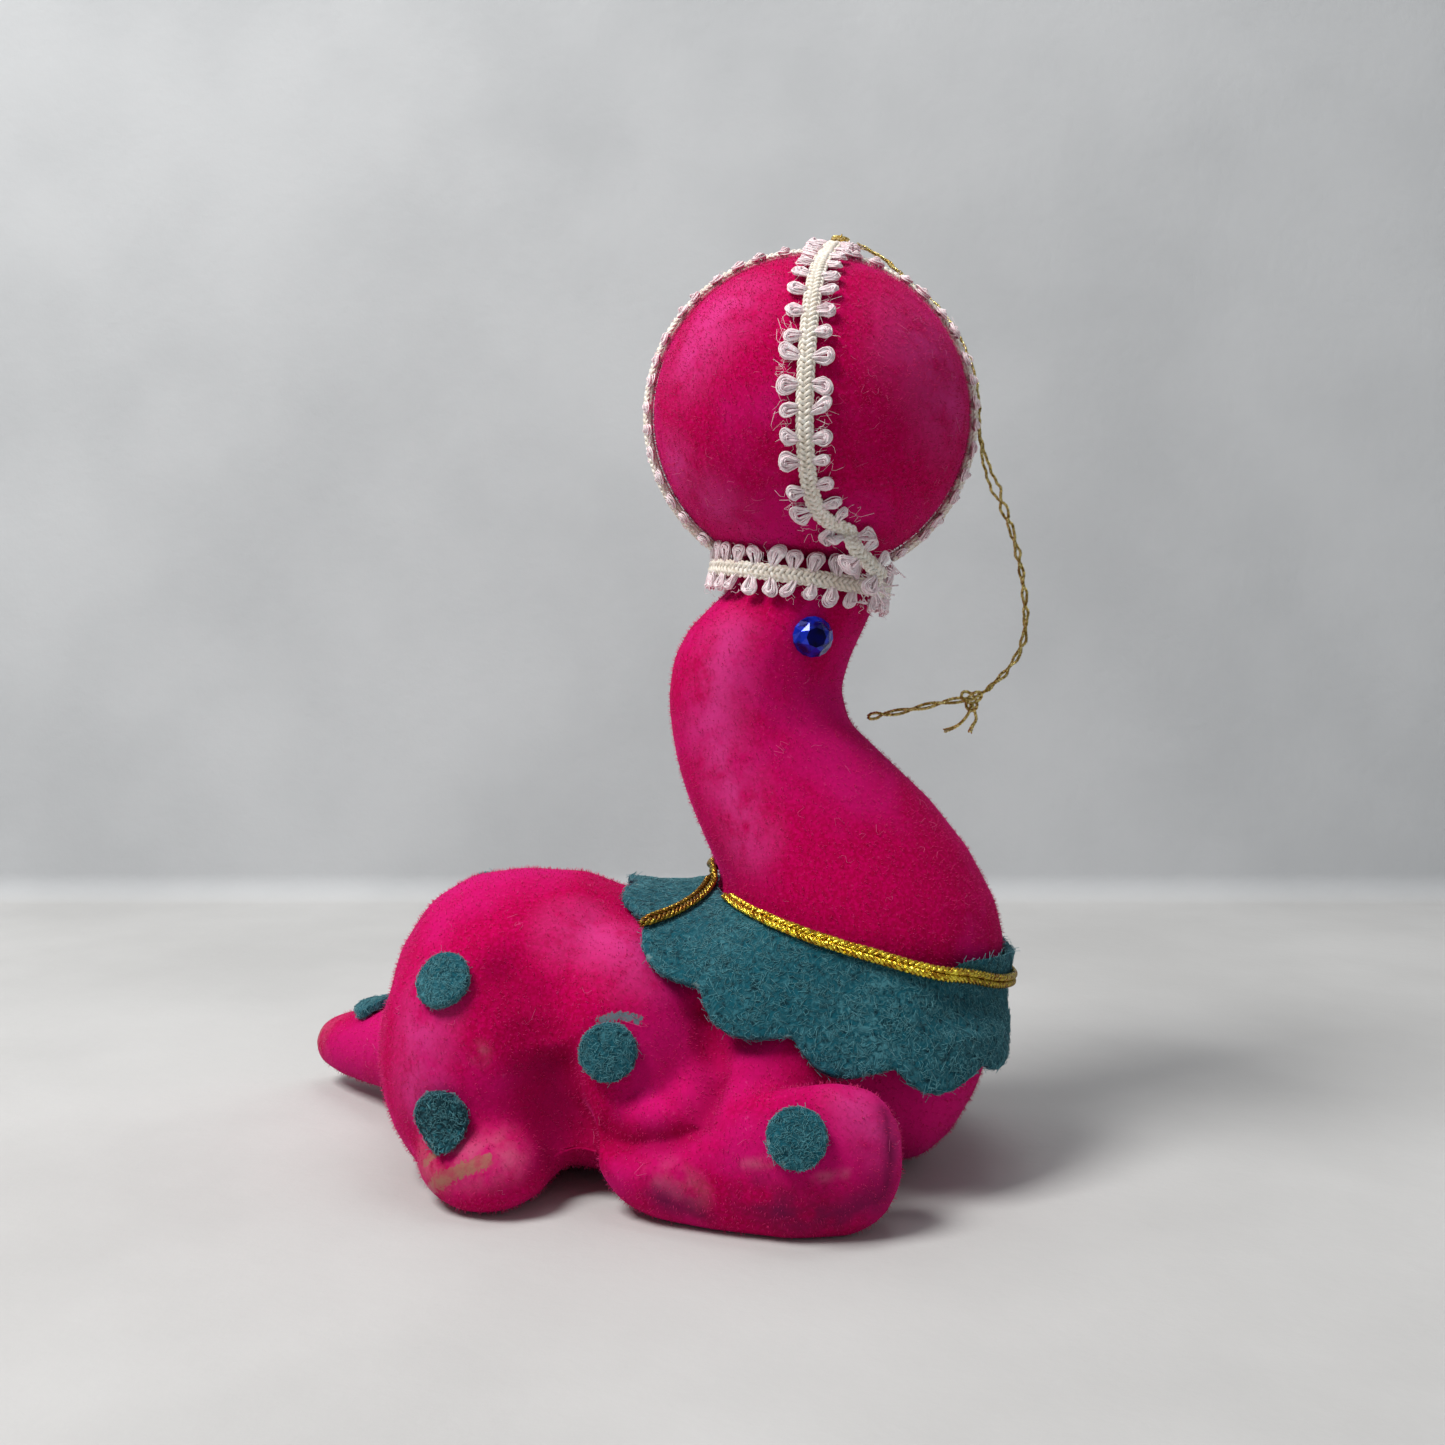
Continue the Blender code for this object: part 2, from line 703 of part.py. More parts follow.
def column_point(column, down):
    """A point this share of the way down a column of points."""
    reach = down * (len(column) - 1)
    step = min(int(reach), len(column) - 2)
    return column[step].lerp(column[step + 1], reach - step)


def collar_grid(tree):
    """Rows of points from the cord down to the scalloped edge, eased and kept clear of the skin."""
    turns = even_turns(COLLAR_EDGE, COLLAR_STEPS)
    rows = []
    for row in range(COLLAR_ROWS + 1):
        line = []
        for turn in turns:
            place = ring_point(COLLAR_TOP, turn).lerp(ring_point(COLLAR_EDGE, turn), row / COLLAR_ROWS)
            line.append(clear_of(tree, place, GAP))
        rows.append(line)
    for _ in range(COLLAR_EASING):
        eased = [list(line) for line in rows]
        for row, line in enumerate(rows):
            for i, place in enumerate(line):
                beside = (line[i - 1] + line[(i + 1) % COLLAR_STEPS]) / 2
                if 0 < row < COLLAR_ROWS:
                    beside = (beside + (rows[row - 1][i] + rows[row + 1][i]) / 2) / 2
                eased[row][i] = clear_of(tree, place.lerp(beside, 0.4), GAP)
        rows = eased
    grid = [[] for _ in rows]
    for i in range(COLLAR_STEPS):
        column = [line[i] for line in rows]
        bulge = abs(math.sin(math.pi * SCALLOPS * (i / COLLAR_STEPS - SCALLOP_SHIFT)))
        length = 1 - SCALLOP_DEPTH * (1 - bulge)
        for row in range(COLLAR_ROWS + 1):
            grid[row].append(clear_of(tree, column_point(column, length * row / COLLAR_ROWS), GAP))
    return grid


def lifted_row(grid, row, lift):
    """One row of the collar's points, moved out from the felt's underside."""
    line = grid[row]
    above, below = grid[max(row - 1, 0)], grid[min(row + 1, COLLAR_ROWS)]
    lifted = []
    for i, place in enumerate(line):
        around = line[(i + 1) % COLLAR_STEPS] - line[i - 1]
        out = around.cross(above[i] - below[i]).normalized()
        lifted.append(place + out * lift)
    return lifted


def make_collar(grid):
    """A scalloped strip of felt that lies round the base of the neck."""
    bm = bmesh.new()
    under = [[bm.verts.new(place) for place in line] for line in grid]
    over = []
    for row in range(COLLAR_ROWS + 1):
        over.append([bm.verts.new(place) for place in lifted_row(grid, row, FELT_THICKNESS)])
    for rows in (under, over):
        for one, two in zip(rows, rows[1:]):
            for i in range(COLLAR_STEPS):
                j = (i + 1) % COLLAR_STEPS
                bm.faces.new((one[i], one[j], two[j], two[i]))
    for row in (0, -1):
        for i in range(COLLAR_STEPS):
            j = (i + 1) % COLLAR_STEPS
            bm.faces.new((under[row][i], under[row][j], over[row][j], over[row][i]))
    return object_from("felt_collar", bm, (TEAL, 0.95))


def tube(name, points, diameter, finish, closed=False):
    curve = bpy.data.curves.new(name, "CURVE")
    curve.dimensions = "3D"
    curve.bevel_depth = diameter / 2
    curve.bevel_resolution = 2
    curve.use_fill_caps = True
    spline = curve.splines.new("POLY")
    spline.points.add(len(points) - 1)
    for place, point in zip(points, spline.points):
        point.co = (*place, 1.0)
    spline.use_cyclic_u = closed
    return link(name, curve, finish)


def tree_of(mesh):
    points = [vert.co.copy() for vert in mesh.vertices]
    return BVHTree.FromPolygons(points, [tuple(face.vertices) for face in mesh.polygons])


def make_collar_cord(trees, grid):
    """The cord tied round the collar's top, with a short tail left at the nape."""
    radius = COLLAR_CORD_DIAMETER / 2
    line = lifted_row(grid, 0, FELT_THICKNESS + GAP + radius)
    points = []
    for i in range(CORD_STEPS + 1):
        reach = (CORD_START + (CORD_END - CORD_START) * i / CORD_STEPS) * COLLAR_STEPS
        step = int(reach)
        one, two = line[step % COLLAR_STEPS], line[(step + 1) % COLLAR_STEPS]
        points.append(one.lerp(two, reach - step))
    tail = through([points[-1], *[drawn(*point) for point in CORD_TAIL]], 3)[1:]
    for tree in trees:
        tail = [clear_of(tree, point, CORD_CLEARANCE + radius) for point in tail]
    points += tail
    tube("collar_cord", points, COLLAR_CORD_DIAMETER, (GOLD, 0.35, 0.9))


def thread_eye_centre():
    braids = 2 * (GAP + BRAID_CORE_THICKNESS)
    return BALL_CENTRE + crossing_way() * (BALL_RADIUS + braids + GAP + THREAD_DIAMETER / 2)


def make_thread_eye():
    """The small metal-thread eye, sewn flat on the crossing of the braids, that holds the loop."""
    centre, up = thread_eye_centre(), crossing_way()
    side = Vector((0, 1, 0))
    ahead = side.cross(up)
    thick = THREAD_DIAMETER / 2
    rings = []
    for i in range(THREAD_EYE_RINGS):
        turn = 2 * math.pi * i / THREAD_EYE_RINGS
        out = ahead * math.cos(turn) + side * math.sin(turn)
        rings.append(ellipse(centre + out * THREAD_EYE_RADIUS, out * thick, up * thick, 6))
    bm = bmesh.new()
    bridge_rings(bm, rings, closed=True)
    object_from("thread_eye", bm, (GOLD, 0.3, 1.0))


def make_thread():
    """A closed loop of thread that swings on the eye: two strands, tied short of the far bend."""
    pivot = thread_eye_centre()
    swing = add_empty("thread_swing", pivot, bpy.data.objects[BASE])
    beside = Vector((0, (THREAD_DIAMETER + STRAND_GAP) / 2, 0))
    route = through([Vector(point) * MM for point in THREAD_ROUTE], 3)
    bend = through([Vector(point) * MM for point in FAR_BEND_ROUTE], 3)
    turned = Matrix.Rotation(math.radians(30), 3, "Z")
    arm, tip = beside, []
    for _ in range(5):
        arm = turned @ arm
        tip.append(bend[-1] + arm)
    there, back = [point + beside for point in bend], [point - beside for point in bend]
    bm = bmesh.new()
    add_ball(bm, Vector(KNOT_PLACE) * MM, (KNOT_DIAMETER / 2,) * 3, 12, 8)
    finish = (GOLD, 0.3, 1.0)
    pieces = (
        tube("thread_right_strand", [point - beside for point in route], THREAD_DIAMETER, finish),
        tube("thread_left_strand", [point + beside for point in route], THREAD_DIAMETER, finish),
        tube("thread_far_bend", there + tip + back[::-1], THREAD_DIAMETER, finish),
        object_from("thread_knot", bm, finish),
    )
    for piece in pieces:
        piece.parent = swing
        piece.matrix_parent_inverse = Matrix.Translation(-pivot)


def main():
    clear_scene()
    add_empty(BASE, (BASE_FORWARD, 0, 0))
    skin_mesh, cavity_mesh = moulded_skin()
    tree = tree_of(skin_mesh)
    make_body(skin_mesh, cavity_mesh)
    make_ball()
    make_ball_braids()
    make_neck_braid(tree)
    make_dots(tree)
    make_eyes(tree)
    grid = collar_grid(tree)
    collar = make_collar(grid)
    make_collar_cord((tree, tree_of(collar.data)), grid)
    make_thread_eye()
    make_thread()


main()
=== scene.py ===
"""Looks of a flocked circus seal ornament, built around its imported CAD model.

Metres, in the frame of the CAD: +Z up, +X the way the seal faces, +Y its left.
"""

import math

import bmesh
import bpy
import numpy as np
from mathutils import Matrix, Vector
from mathutils.bvhtree import BVHTree


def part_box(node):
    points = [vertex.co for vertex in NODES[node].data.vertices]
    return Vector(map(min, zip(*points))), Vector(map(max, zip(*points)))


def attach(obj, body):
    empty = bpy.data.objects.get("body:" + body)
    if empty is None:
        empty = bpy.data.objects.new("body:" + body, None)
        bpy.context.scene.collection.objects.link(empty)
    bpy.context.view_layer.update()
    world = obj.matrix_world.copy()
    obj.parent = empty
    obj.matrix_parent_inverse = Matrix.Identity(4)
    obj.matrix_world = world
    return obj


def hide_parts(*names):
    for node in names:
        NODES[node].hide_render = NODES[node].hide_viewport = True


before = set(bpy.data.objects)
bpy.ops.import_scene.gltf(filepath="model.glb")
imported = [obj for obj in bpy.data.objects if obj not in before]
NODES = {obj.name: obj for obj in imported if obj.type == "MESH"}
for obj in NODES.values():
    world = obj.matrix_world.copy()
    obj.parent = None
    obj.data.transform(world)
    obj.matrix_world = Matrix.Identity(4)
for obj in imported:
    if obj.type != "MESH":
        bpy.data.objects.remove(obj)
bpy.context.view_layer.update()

MM = 0.001
ORNAMENT = "ornament"
THREAD_LOOP = "thread_loop"

# ---------------------------------------------------------------- places read from the frame

BALL_LOW, BALL_HIGH = (np.array(corner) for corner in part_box("ball_right_half"))
BALL_RADIUS = (BALL_HIGH[2] - BALL_LOW[2]) / 2
BALL_CENTRE = np.array([(BALL_LOW[0] + BALL_HIGH[0]) / 2, 0.0, (BALL_LOW[2] + BALL_HIGH[2]) / 2])
EYE_LOW, EYE_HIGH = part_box("thread_eye")
THREAD_EYE = (EYE_LOW + EYE_HIGH) / 2

# The drawing's origin, under the ball, in the part's frame.
DRAWN_FORWARD = 20.3 * MM


def drawn(*points):
    """Points drawn under the ball's origin, in millimetres, as places in the part's frame."""
    return np.array(points) * MM + (DRAWN_FORWARD, 0, 0)


def linked(name, data):
    """A new object with this data, in the scene."""
    obj = bpy.data.objects.new(name, data)
    bpy.context.scene.collection.objects.link(obj)
    return obj


# ---------------------------------------------------------------- camera, light and floor

CAMERA_PLACE = (9.6 * MM, -183 * MM, 61.6 * MM)
CAMERA_LENS = 38.62
CAMERA_SHIFT = -0.0675
WALL_DISTANCE = 0.165
FLOOR_HALF = 1.6


def add_camera():
    data = bpy.data.cameras.new("camera")
    data.lens = CAMERA_LENS
    data.sensor_width = 36
    data.shift_y = CAMERA_SHIFT
    data.clip_start = 0.01
    camera = linked("camera", data)
    camera.location = CAMERA_PLACE
    camera.rotation_euler = (math.pi / 2, 0, 0)
    bpy.context.scene.camera = camera
    bpy.context.scene.view_settings.view_transform = "Standard"


def add_area(name, place, aim, size, power, colour=(1, 1, 1)):
    data = bpy.data.lights.new(name, "AREA")
    data.size = size
    data.energy = power
    data.color = colour
    lamp = linked(name, data)
    lamp.location = place
    lamp.rotation_euler = (Vector(aim) - Vector(place)).to_track_quat("-Z", "Y").to_euler()


def add_light():
    world = bpy.data.worlds.new("studio")
    world.use_nodes = True
    background = world.node_tree.nodes["Background"]
    background.inputs["Color"].default_value = (0.93, 0.96, 1.0, 1)
    background.inputs["Strength"].default_value = 0.21
    bpy.context.scene.world = world
    middle = (0.0, 0.0, 0.05)
    add_area("key", (-0.3, -0.2, 0.56), middle, 0.24, 4.3, (1.0, 0.985, 0.96))
    add_area("fill", (0.45, -0.35, 0.2), middle, 0.4, 0.22, (0.9, 0.95, 1.0))
    add_area("top", (0.05, 0.1, 0.6), middle, 0.3, 0.8)


def add_floor():
    """A pale sheet that turns up into a backdrop behind the ornament."""
    radius = 0.006
    profile = [(-FLOOR_HALF, 0.0), (WALL_DISTANCE - radius, 0.0)]
    for i in range(1, 9):
        turn = math.pi / 2 * i / 8
        profile.append(
            (WALL_DISTANCE - radius + radius * math.sin(turn), radius * (1 - math.cos(turn)))
        )
    profile.append((WALL_DISTANCE, FLOOR_HALF))
    points = [(x, y, z - 0.05 * MM) for x in (-FLOOR_HALF, FLOOR_HALF) for y, z in profile]
    count = len(profile)
    faces = [(i, i + count, i + count + 1, i + 1) for i in range(count - 1)]
    mesh = bpy.data.meshes.new("floor")
    mesh.from_pydata(points, [], faces)
    mesh.shade_smooth()
    floor = linked("floor", mesh)
    mesh.materials.append(floor_material())


# ---------------------------------------------------------------- materials


class Shader:
    """A Principled material with short ways to add the nodes that colour it."""

    def __init__(self, name, **values):
        self.material = bpy.data.materials.new(name)
        self.material.use_nodes = True
        self.nodes = self.material.node_tree.nodes
        self.links = self.material.node_tree.links
        self.main = self.nodes["Principled BSDF"]
        for socket, value in values.items():
            self.set(socket.replace("_", " ").title(), value)

    def set(self, socket, value):
        entry = self.main.inputs[socket.replace("Ior", "IOR")]
        if isinstance(value, tuple) and entry.type == "RGBA":
            value = (*value, 1.0)
        entry.default_value = value

    def link(self, output, entry):
        self.links.new(output, entry)

    def place(self):
        return self.nodes.new("ShaderNodeTexCoord").outputs["Object"]

    def attribute(self, name):
        node = self.nodes.new("ShaderNodeAttribute")
        node.attribute_name = name
        return node.outputs["Fac"]

    def noise(self, scale, detail=3.0, rough=0.55, distortion=0.0):
        node = self.nodes.new("ShaderNodeTexNoise")
        node.inputs["Scale"].default_value = scale
        node.inputs["Detail"].default_value = detail
        node.inputs["Roughness"].default_value = rough
        node.inputs["Distortion"].default_value = distortion
        self.links.new(self.place(), node.inputs["Vector"])
        return node.outputs["Fac"]

    def cells(self, scale):
        node = self.nodes.new("ShaderNodeTexVoronoi")
        node.feature = "DISTANCE_TO_EDGE"
        node.inputs["Scale"].default_value = scale
        self.links.new(self.place(), node.inputs["Vector"])
        return node.outputs["Distance"]

    def ramp(self, value, low, high, start=0.0, end=1.0):
        node = self.nodes.new("ShaderNodeMapRange")
        node.interpolation_type = "SMOOTHSTEP"
        for socket, number in zip(("From Min", "From Max", "To Min", "To Max"), (low, high, start, end)):
            node.inputs[socket].default_value = number
        self.links.new(value, node.inputs["Value"])
        return node.outputs["Result"]

    def math(self, operation, one, two):
        node = self.nodes.new("ShaderNodeMath")
        node.operation = operation
        for socket, value in zip(node.inputs, (one, two)):
            if isinstance(value, (int, float)):
                socket.default_value = value
            else:
                self.links.new(value, socket)
        return node.outputs["Value"]

    def times(self, one, two):
        return self.math("MULTIPLY", one, two)

    def patches(self, low, high, *noise, **more):
        """Noise as soft patches, from 0 under the low value to 1 over the high one."""
        return self.ramp(self.noise(*noise, **more), low, high)

    def mix(self, share, one, two):
        node = self.nodes.new("ShaderNodeMix")
        node.data_type = "RGBA"
        for socket, value in ((node.inputs[0], share), (node.inputs[6], one), (node.inputs[7], two)):
            if isinstance(value, tuple):
                socket.default_value = (*value, 1.0)
            elif isinstance(value, (int, float)):
                socket.default_value = value
            else:
                self.links.new(value, socket)
        return node.outputs[2]

    def colour(self, output):
        self.links.new(output, self.main.inputs["Base Color"])

    def bump(self, height, distance, strength=1.0):
        node = self.nodes.new("ShaderNodeBump")
        node.inputs["Distance"].default_value = distance
        node.inputs["Strength"].default_value = strength
        self.links.new(height, node.inputs["Height"])
        self.links.new(node.outputs["Normal"], self.main.inputs["Normal"])


def floor_material():
    shader = Shader("floor_paper", base_color=(0.7, 0.69, 0.68), roughness=0.9)
    soft = shader.patches(0.3, 0.7, 14, 4)
    split = shader.nodes.new("ShaderNodeSeparateXYZ")
    shader.link(shader.place(), split.inputs[0])
    wall = shader.ramp(split.outputs["Y"], WALL_DISTANCE - 0.006, WALL_DISTANCE)
    floor = shader.mix(soft, (0.47, 0.47, 0.467), (0.54, 0.54, 0.537))
    shader.colour(shader.mix(wall, floor, shader.mix(soft, (0.47, 0.485, 0.5), (0.55, 0.565, 0.58))))
    shader.bump(shader.noise(400, 4), 0.3 * MM, 0.3)
    return shader.material


FLOCK_DEEP = (0.39, 0.0, 0.05)
FLOCK = (0.54, 0.0, 0.095)
FLOCK_BRUSHED = (0.57, 0.006, 0.155)
FLOCK_SHEEN = (1.0, 0.04, 0.42)


def flock_material():
    shader = Shader("crimson_flock", roughness=0.92, sheen_weight=0.35, sheen_roughness=0.3)
    shader.set("Sheen Tint", FLOCK_SHEEN)
    shader.set("Specular IOR Level", 0.05)
    clouds = shader.patches(0.44, 0.64, 48, 4, 0.6, distortion=0.6)
    grain = shader.patches(0.35, 0.7, 2600, 2, 0.6)
    specks = shader.patches(0.62, 0.75, 1500, 3, 0.7)
    base = shader.mix(grain, FLOCK_DEEP, FLOCK)
    base = shader.mix(shader.times(clouds, 0.75), base, FLOCK_BRUSHED)
    base = shader.mix(shader.times(specks, 0.3), base, (0.75, 0.07, 0.28))
    # Painted sheen: lighter streaks laid on the marked places where the light grazes the flock.
    streaks = shader.patches(0.25, 0.6, 240, 4, 0.65)
    painted_sheen = shader.times(shader.attribute("painted_sheen"), streaks)
    base = shader.mix(shader.times(painted_sheen, 0.75), base, (0.64, 0.045, 0.25))
    pale = shader.times(shader.attribute("pale"), shader.patches(0.3, 0.7, 420, 3))
    base = shader.mix(shader.times(pale, 0.45), base, (0.52, 0.17, 0.24))
    # Darker patches along the marked lines low on the body.
    low_dark = shader.times(shader.attribute("low_dark"), shader.patches(0.25, 0.65, 300, 4))
    base = shader.mix(low_dark, base, (0.17, 0.008, 0.06))
    # Painted shade: the flock is darkened in the pressed folds, where shade falls.
    painted_fold_shade = shader.times(shader.attribute("painted_fold_shade"), 0.6)
    base = shader.mix(painted_fold_shade, base, (0.23, 0.0, 0.03))
    smear = shader.times(shader.attribute("smear"), shader.math("ADD", grain, 0.6))
    smear = shader.ramp(smear, 0.35, 0.6)
    base = shader.mix(smear, base, (0.13, 0.17, 0.2))
    worn = shader.math("ADD", shader.attribute("worn"), shader.times(grain, 0.35))
    worn = shader.ramp(worn, 0.62, 0.8)
    bare = shader.mix(shader.patches(0.4, 0.65, 500, 4), (0.34, 0.13, 0.1), (0.4, 0.05, 0.09))
    shader.colour(shader.mix(worn, base, bare))
    shader.link(shader.ramp(worn, 0.0, 1.0, 0.92, 0.42), shader.main.inputs["Roughness"])
    shader.bump(shader.noise(1900, 2, 0.7), 0.12 * MM, 0.55)
    return shader.material


def fibre_material(name, colour, sheen):
    shader = Shader(name, roughness=0.7, sheen_weight=0.5)
    shader.set("Sheen Tint", sheen)
    pale = tuple(min(1.0, c * 1.4 + 0.008) for c in colour)
    shader.colour(shader.mix(shader.patches(0.35, 0.65, 700, 2), colour, pale))
    return shader.material


def felt_material(name, deep, mid, light, knit=False):
    """Matted wool, or the knitted backing that one of the dots shows."""
    shader = Shader(name, roughness=0.95, sheen_weight=0.12, sheen_roughness=0.4)
    shader.set("Sheen Tint", (0.5, 0.85, 0.95))
    shader.set("Specular IOR Level", 0.15)
    wisps = shader.patches(0.4, 0.62, 900, 4, 0.7, distortion=2.2)
    pits = shader.patches(0.32, 0.52, 1300, 3, 0.6)
    worn = shader.patches(0.4, 0.7, 70, 3)
    # Painted highlight: the felt's sharp cut edges are lightened towards grey, standing in for the light rim
    # along them.
    edge = shader.nodes.new("ShaderNodeNewGeometry").outputs["Pointiness"]
    edge = shader.times(shader.ramp(edge, 0.53, 0.6), 0.6)
    base = shader.mix(pits, deep, mid)
    base = shader.mix(shader.times(wisps, shader.ramp(worn, 0.0, 1.0, 0.5, 1.0)), base, light)
    if knit:
        gaps = shader.ramp(shader.cells(1500), 0.0, 0.3, 1.0, 0.0)
        base = shader.mix(shader.times(gaps, 0.8), base, deep)
    shader.colour(shader.mix(edge, base, (0.22, 0.34, 0.35)))
    height = shader.math("ADD", shader.noise(1300, 3, 0.6), shader.times(wisps, 0.5))
    if knit:
        height = shader.math("SUBTRACT", height, gaps)
    shader.bump(height, 0.2 * MM, 1.0)
    return shader.material


def satin_material(name, deep, light):
    shader = Shader(name, roughness=0.42, sheen_weight=0.25)
    fine = shader.patches(0.35, 0.65, 2500, 2)
    patches = shader.patches(0.4, 0.68, 160, 3)
    shader.colour(shader.mix(shader.times(patches, 0.5), shader.mix(fine, deep, light), deep))
    shader.set("Subsurface Weight", 0.12)
    shader.set("Subsurface Radius", (0.4 * MM, 0.3 * MM, 0.25 * MM))
    shader.bump(shader.noise(3000, 2), 0.04 * MM, 0.5)
    return shader.material


def gold_material(name, deep, light, roughness):
    shader = Shader(name, metallic=0.8, roughness=roughness)
    foil = shader.patches(0.42, 0.58, 1900, 3, 0.7)
    # Darker brown where the cord is marked: painted shade in front, and a darker tail.
    darker_brown = shader.times(shader.attribute("darker_brown"), 0.85)
    shader.colour(shader.mix(darker_brown, shader.mix(foil, deep, light), (0.12, 0.045, 0.008)))
    shader.bump(shader.noise(1500, 2, 0.8), 0.3 * MM, 1.0)
    return shader.material


# ---------------------------------------------------------------- building meshes


def mesh_object(name, points, polygons, material):
    """An object from an array of points and a list of index arrays, one for each polygon size."""
    mesh = bpy.data.meshes.new(name)
    polygons = [np.asarray(group) for group in polygons if len(group)]
    totals = np.concatenate([np.full(len(group), group.shape[1]) for group in polygons])
    corners = np.concatenate([group.reshape(-1) for group in polygons])
    mesh.vertices.add(len(points))
    mesh.vertices.foreach_set("co", np.asarray(points, np.float32).reshape(-1))
    mesh.loops.add(len(corners))
    mesh.loops.foreach_set("vertex_index", corners.astype(np.int32))
    mesh.polygons.add(len(totals))
    starts = np.concatenate([[0], np.cumsum(totals)[:-1]])
    mesh.polygons.foreach_set("loop_start", starts.astype(np.int32))
    mesh.polygons.foreach_set("loop_total", totals.astype(np.int32))
    mesh.update(calc_edges=True)
    mesh.validate()
    mesh.shade_smooth()
    obj = linked(name, mesh)
    mesh.materials.append(material)
    return obj


def settle(obj, body, slot, *nodes):
    """Says what a finished piece rides on and hides the CAD nodes it stands for; the slot it is given is not
    used.
    """
    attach(obj, body)
    if nodes:
        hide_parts(*nodes)
    return obj


def read_rows(items, key, kind=float):
    """A property of three numbers of every item of a mesh, one row each."""
    values = np.empty(len(items) * 3, kind)
    items.foreach_get(key, values)
    return values.reshape(-1, 3)


def write_layer(mesh, name, values):
    layer = mesh.attributes.new(name, "FLOAT", "POINT")
    layer.data.foreach_set("value", values.astype(np.float32))


def unit(vectors):
    return vectors / np.maximum(np.linalg.norm(vectors, axis=-1, keepdims=True), 1e-12)


class Bundle:
    """Many closed tubes gathered into one mesh."""

    def __init__(self):
        self.points, self.groups, self.count = [], {}, 0

    def add(self, points, polygons):
        for group in polygons:
            self.groups.setdefault(group.shape[1], []).append(group + self.count)
        self.points.append(points)
        self.count += len(points)

    def tubes(self, paths, refs, radii, sides):
        """paths is (tubes, steps, 3), and refs points away from each tube's own direction."""
        paths = np.asarray(paths, float)
        tubes, steps, _ = paths.shape
        refs = np.broadcast_to(refs, paths.shape)
        radii = np.broadcast_to(radii, (tubes, steps))
        tangent = unit(np.gradient(paths, axis=1))
        side = unit(np.cross(tangent, refs))
        up = np.cross(tangent, side)
        turns = 2 * math.pi * np.arange(sides) / sides
        ring = side[:, :, None] * np.cos(turns)[:, None] + up[:, :, None] * np.sin(turns)[:, None]
        points = paths[:, :, None] + ring * radii[:, :, None, None]
        index = np.arange(tubes * steps * sides).reshape(tubes, steps, sides)
        here, along = index[:, :-1], index[:, 1:]
        beside, across = np.roll(here, -1, axis=2), np.roll(along, -1, axis=2)
        walls = np.stack([here, beside, across, along], axis=-1).reshape(-1, 4)
        self.add(points.reshape(-1, 3), [walls, index[:, 0, ::-1], index[:, -1]])

    def object(self, name, material):
        polygons = [np.concatenate(groups) for groups in self.groups.values()]
        return mesh_object(name, np.concatenate(self.points), polygons, material)


def through(points, steps):
    """Points on a smooth curve through the given ones, with so many steps between neighbours."""
    points = np.asarray(points, float)
    ends = np.vstack([points[0] * 2 - points[1], points, points[-1] * 2 - points[-2]])
    a, b, c, d = ends[:-3, None], ends[1:-2, None], ends[2:-1, None], ends[3:, None]
    t = (np.arange(steps) / steps)[None, :, None]
    curve = b * 2 + (c - a) * t + (a * 2 - b * 5 + c * 4 - d) * t**2 + (b * 3 - a - c * 3 + d) * t**3
    return np.vstack([(curve / 2).reshape(-1, points.shape[1]), points[-1:]])


def lengths_along(path):
    return np.concatenate([[0], np.cumsum(np.linalg.norm(np.diff(path, axis=0), axis=1))])


def resampled(path, values, spacing):
    """Values along a path, read at places on it with an even spacing."""
    reach = lengths_along(path)
    marks = np.linspace(0, reach[-1], max(2, round(reach[-1] / spacing) + 1))
    return np.stack([np.interp(marks, reach, values[:, i]) for i in range(3)], axis=1)


def evenly(path, spacing):
    """The same path with points at an even spacing."""
    return resampled(path, path, spacing)


def carried_frames(path):
    """Two directions across a path at each point, carried along it without twist."""
    tangent = unit(np.gradient(path, axis=0))
    side = np.cross(tangent[0], (0.0, 0.0, 1.0))
    if np.linalg.norm(side) < 0.1:
        side = np.cross(tangent[0], (0.0, 1.0, 0.0))
    sides = []
    for way in tangent:
        side = side - way * (side @ way)
        side = side / np.linalg.norm(side)
        sides.append(side)
    sides = np.array(sides)
    return sides, np.cross(tangent, sides)


def twisted(path, side, up, plies, helix, pitch, hand=1, phase=0.0):
    """Paths of so many plies wound round a path, and the ways they stand off it."""
    reach = lengths_along(path)
    starts = 2 * math.pi * np.arange(plies)[:, None] / plies
    turns = starts + phase + hand * 2 * math.pi * reach[None] / pitch
    away = side[None] * np.cos(turns)[..., None] + up[None] * np.sin(turns)[..., None]
    return path[None] + away * helix, away


def wound(path, helix=0.12 * MM, pitch=1.1 * MM):
    """Three plies wound round a path, and the ways they stand off it."""
    return twisted(path, *carried_frames(path), 3, helix, pitch)


def tree_of(obj):
    mesh = obj.data
    points = [vert.co.copy() for vert in mesh.vertices]
    return BVHTree.FromPolygons(points, [tuple(face.vertices) for face in mesh.polygons])


def kept_copy(obj):
    """A new mesh object from this one with its modifiers applied."""
    graph = bpy.context.evaluated_depsgraph_get()
    mesh = bpy.data.meshes.new_from_object(obj.evaluated_get(graph))
    name = obj.name
    old = obj.data
    obj.modifiers.clear()
    obj.data = mesh
    bpy.data.meshes.remove(old)
    obj.name = name
    return obj


def remeshed(name, nodes, voxel, smoothing, material, closing=0.0):
    """One fine, eased, closed skin of these CAD nodes, without any hollow inside."""
    bm = bmesh.new()
    for node in nodes:
        bm.from_mesh(NODES[node].data)
    for vert in bm.verts:
        if abs(vert.co.y) < closing:
            vert.co.y *= -0.4
    bmesh.ops.remove_doubles(bm, verts=bm.verts, dist=1e-6)
    mesh = bpy.data.meshes.new(name)
    bm.to_mesh(mesh)
    bm.free()
    obj = linked(name, mesh)
    melt = obj.modifiers.new("Remesh", "REMESH")
    melt.mode = "VOXEL"
    melt.voxel_size = voxel
    ease = obj.modifiers.new("Smooth", "SMOOTH")
    ease.iterations = smoothing
    kept_copy(obj)
    largest_shell(obj)
    obj.data.shade_smooth()
    obj.data.materials.clear()
    obj.data.materials.append(material)
    return obj


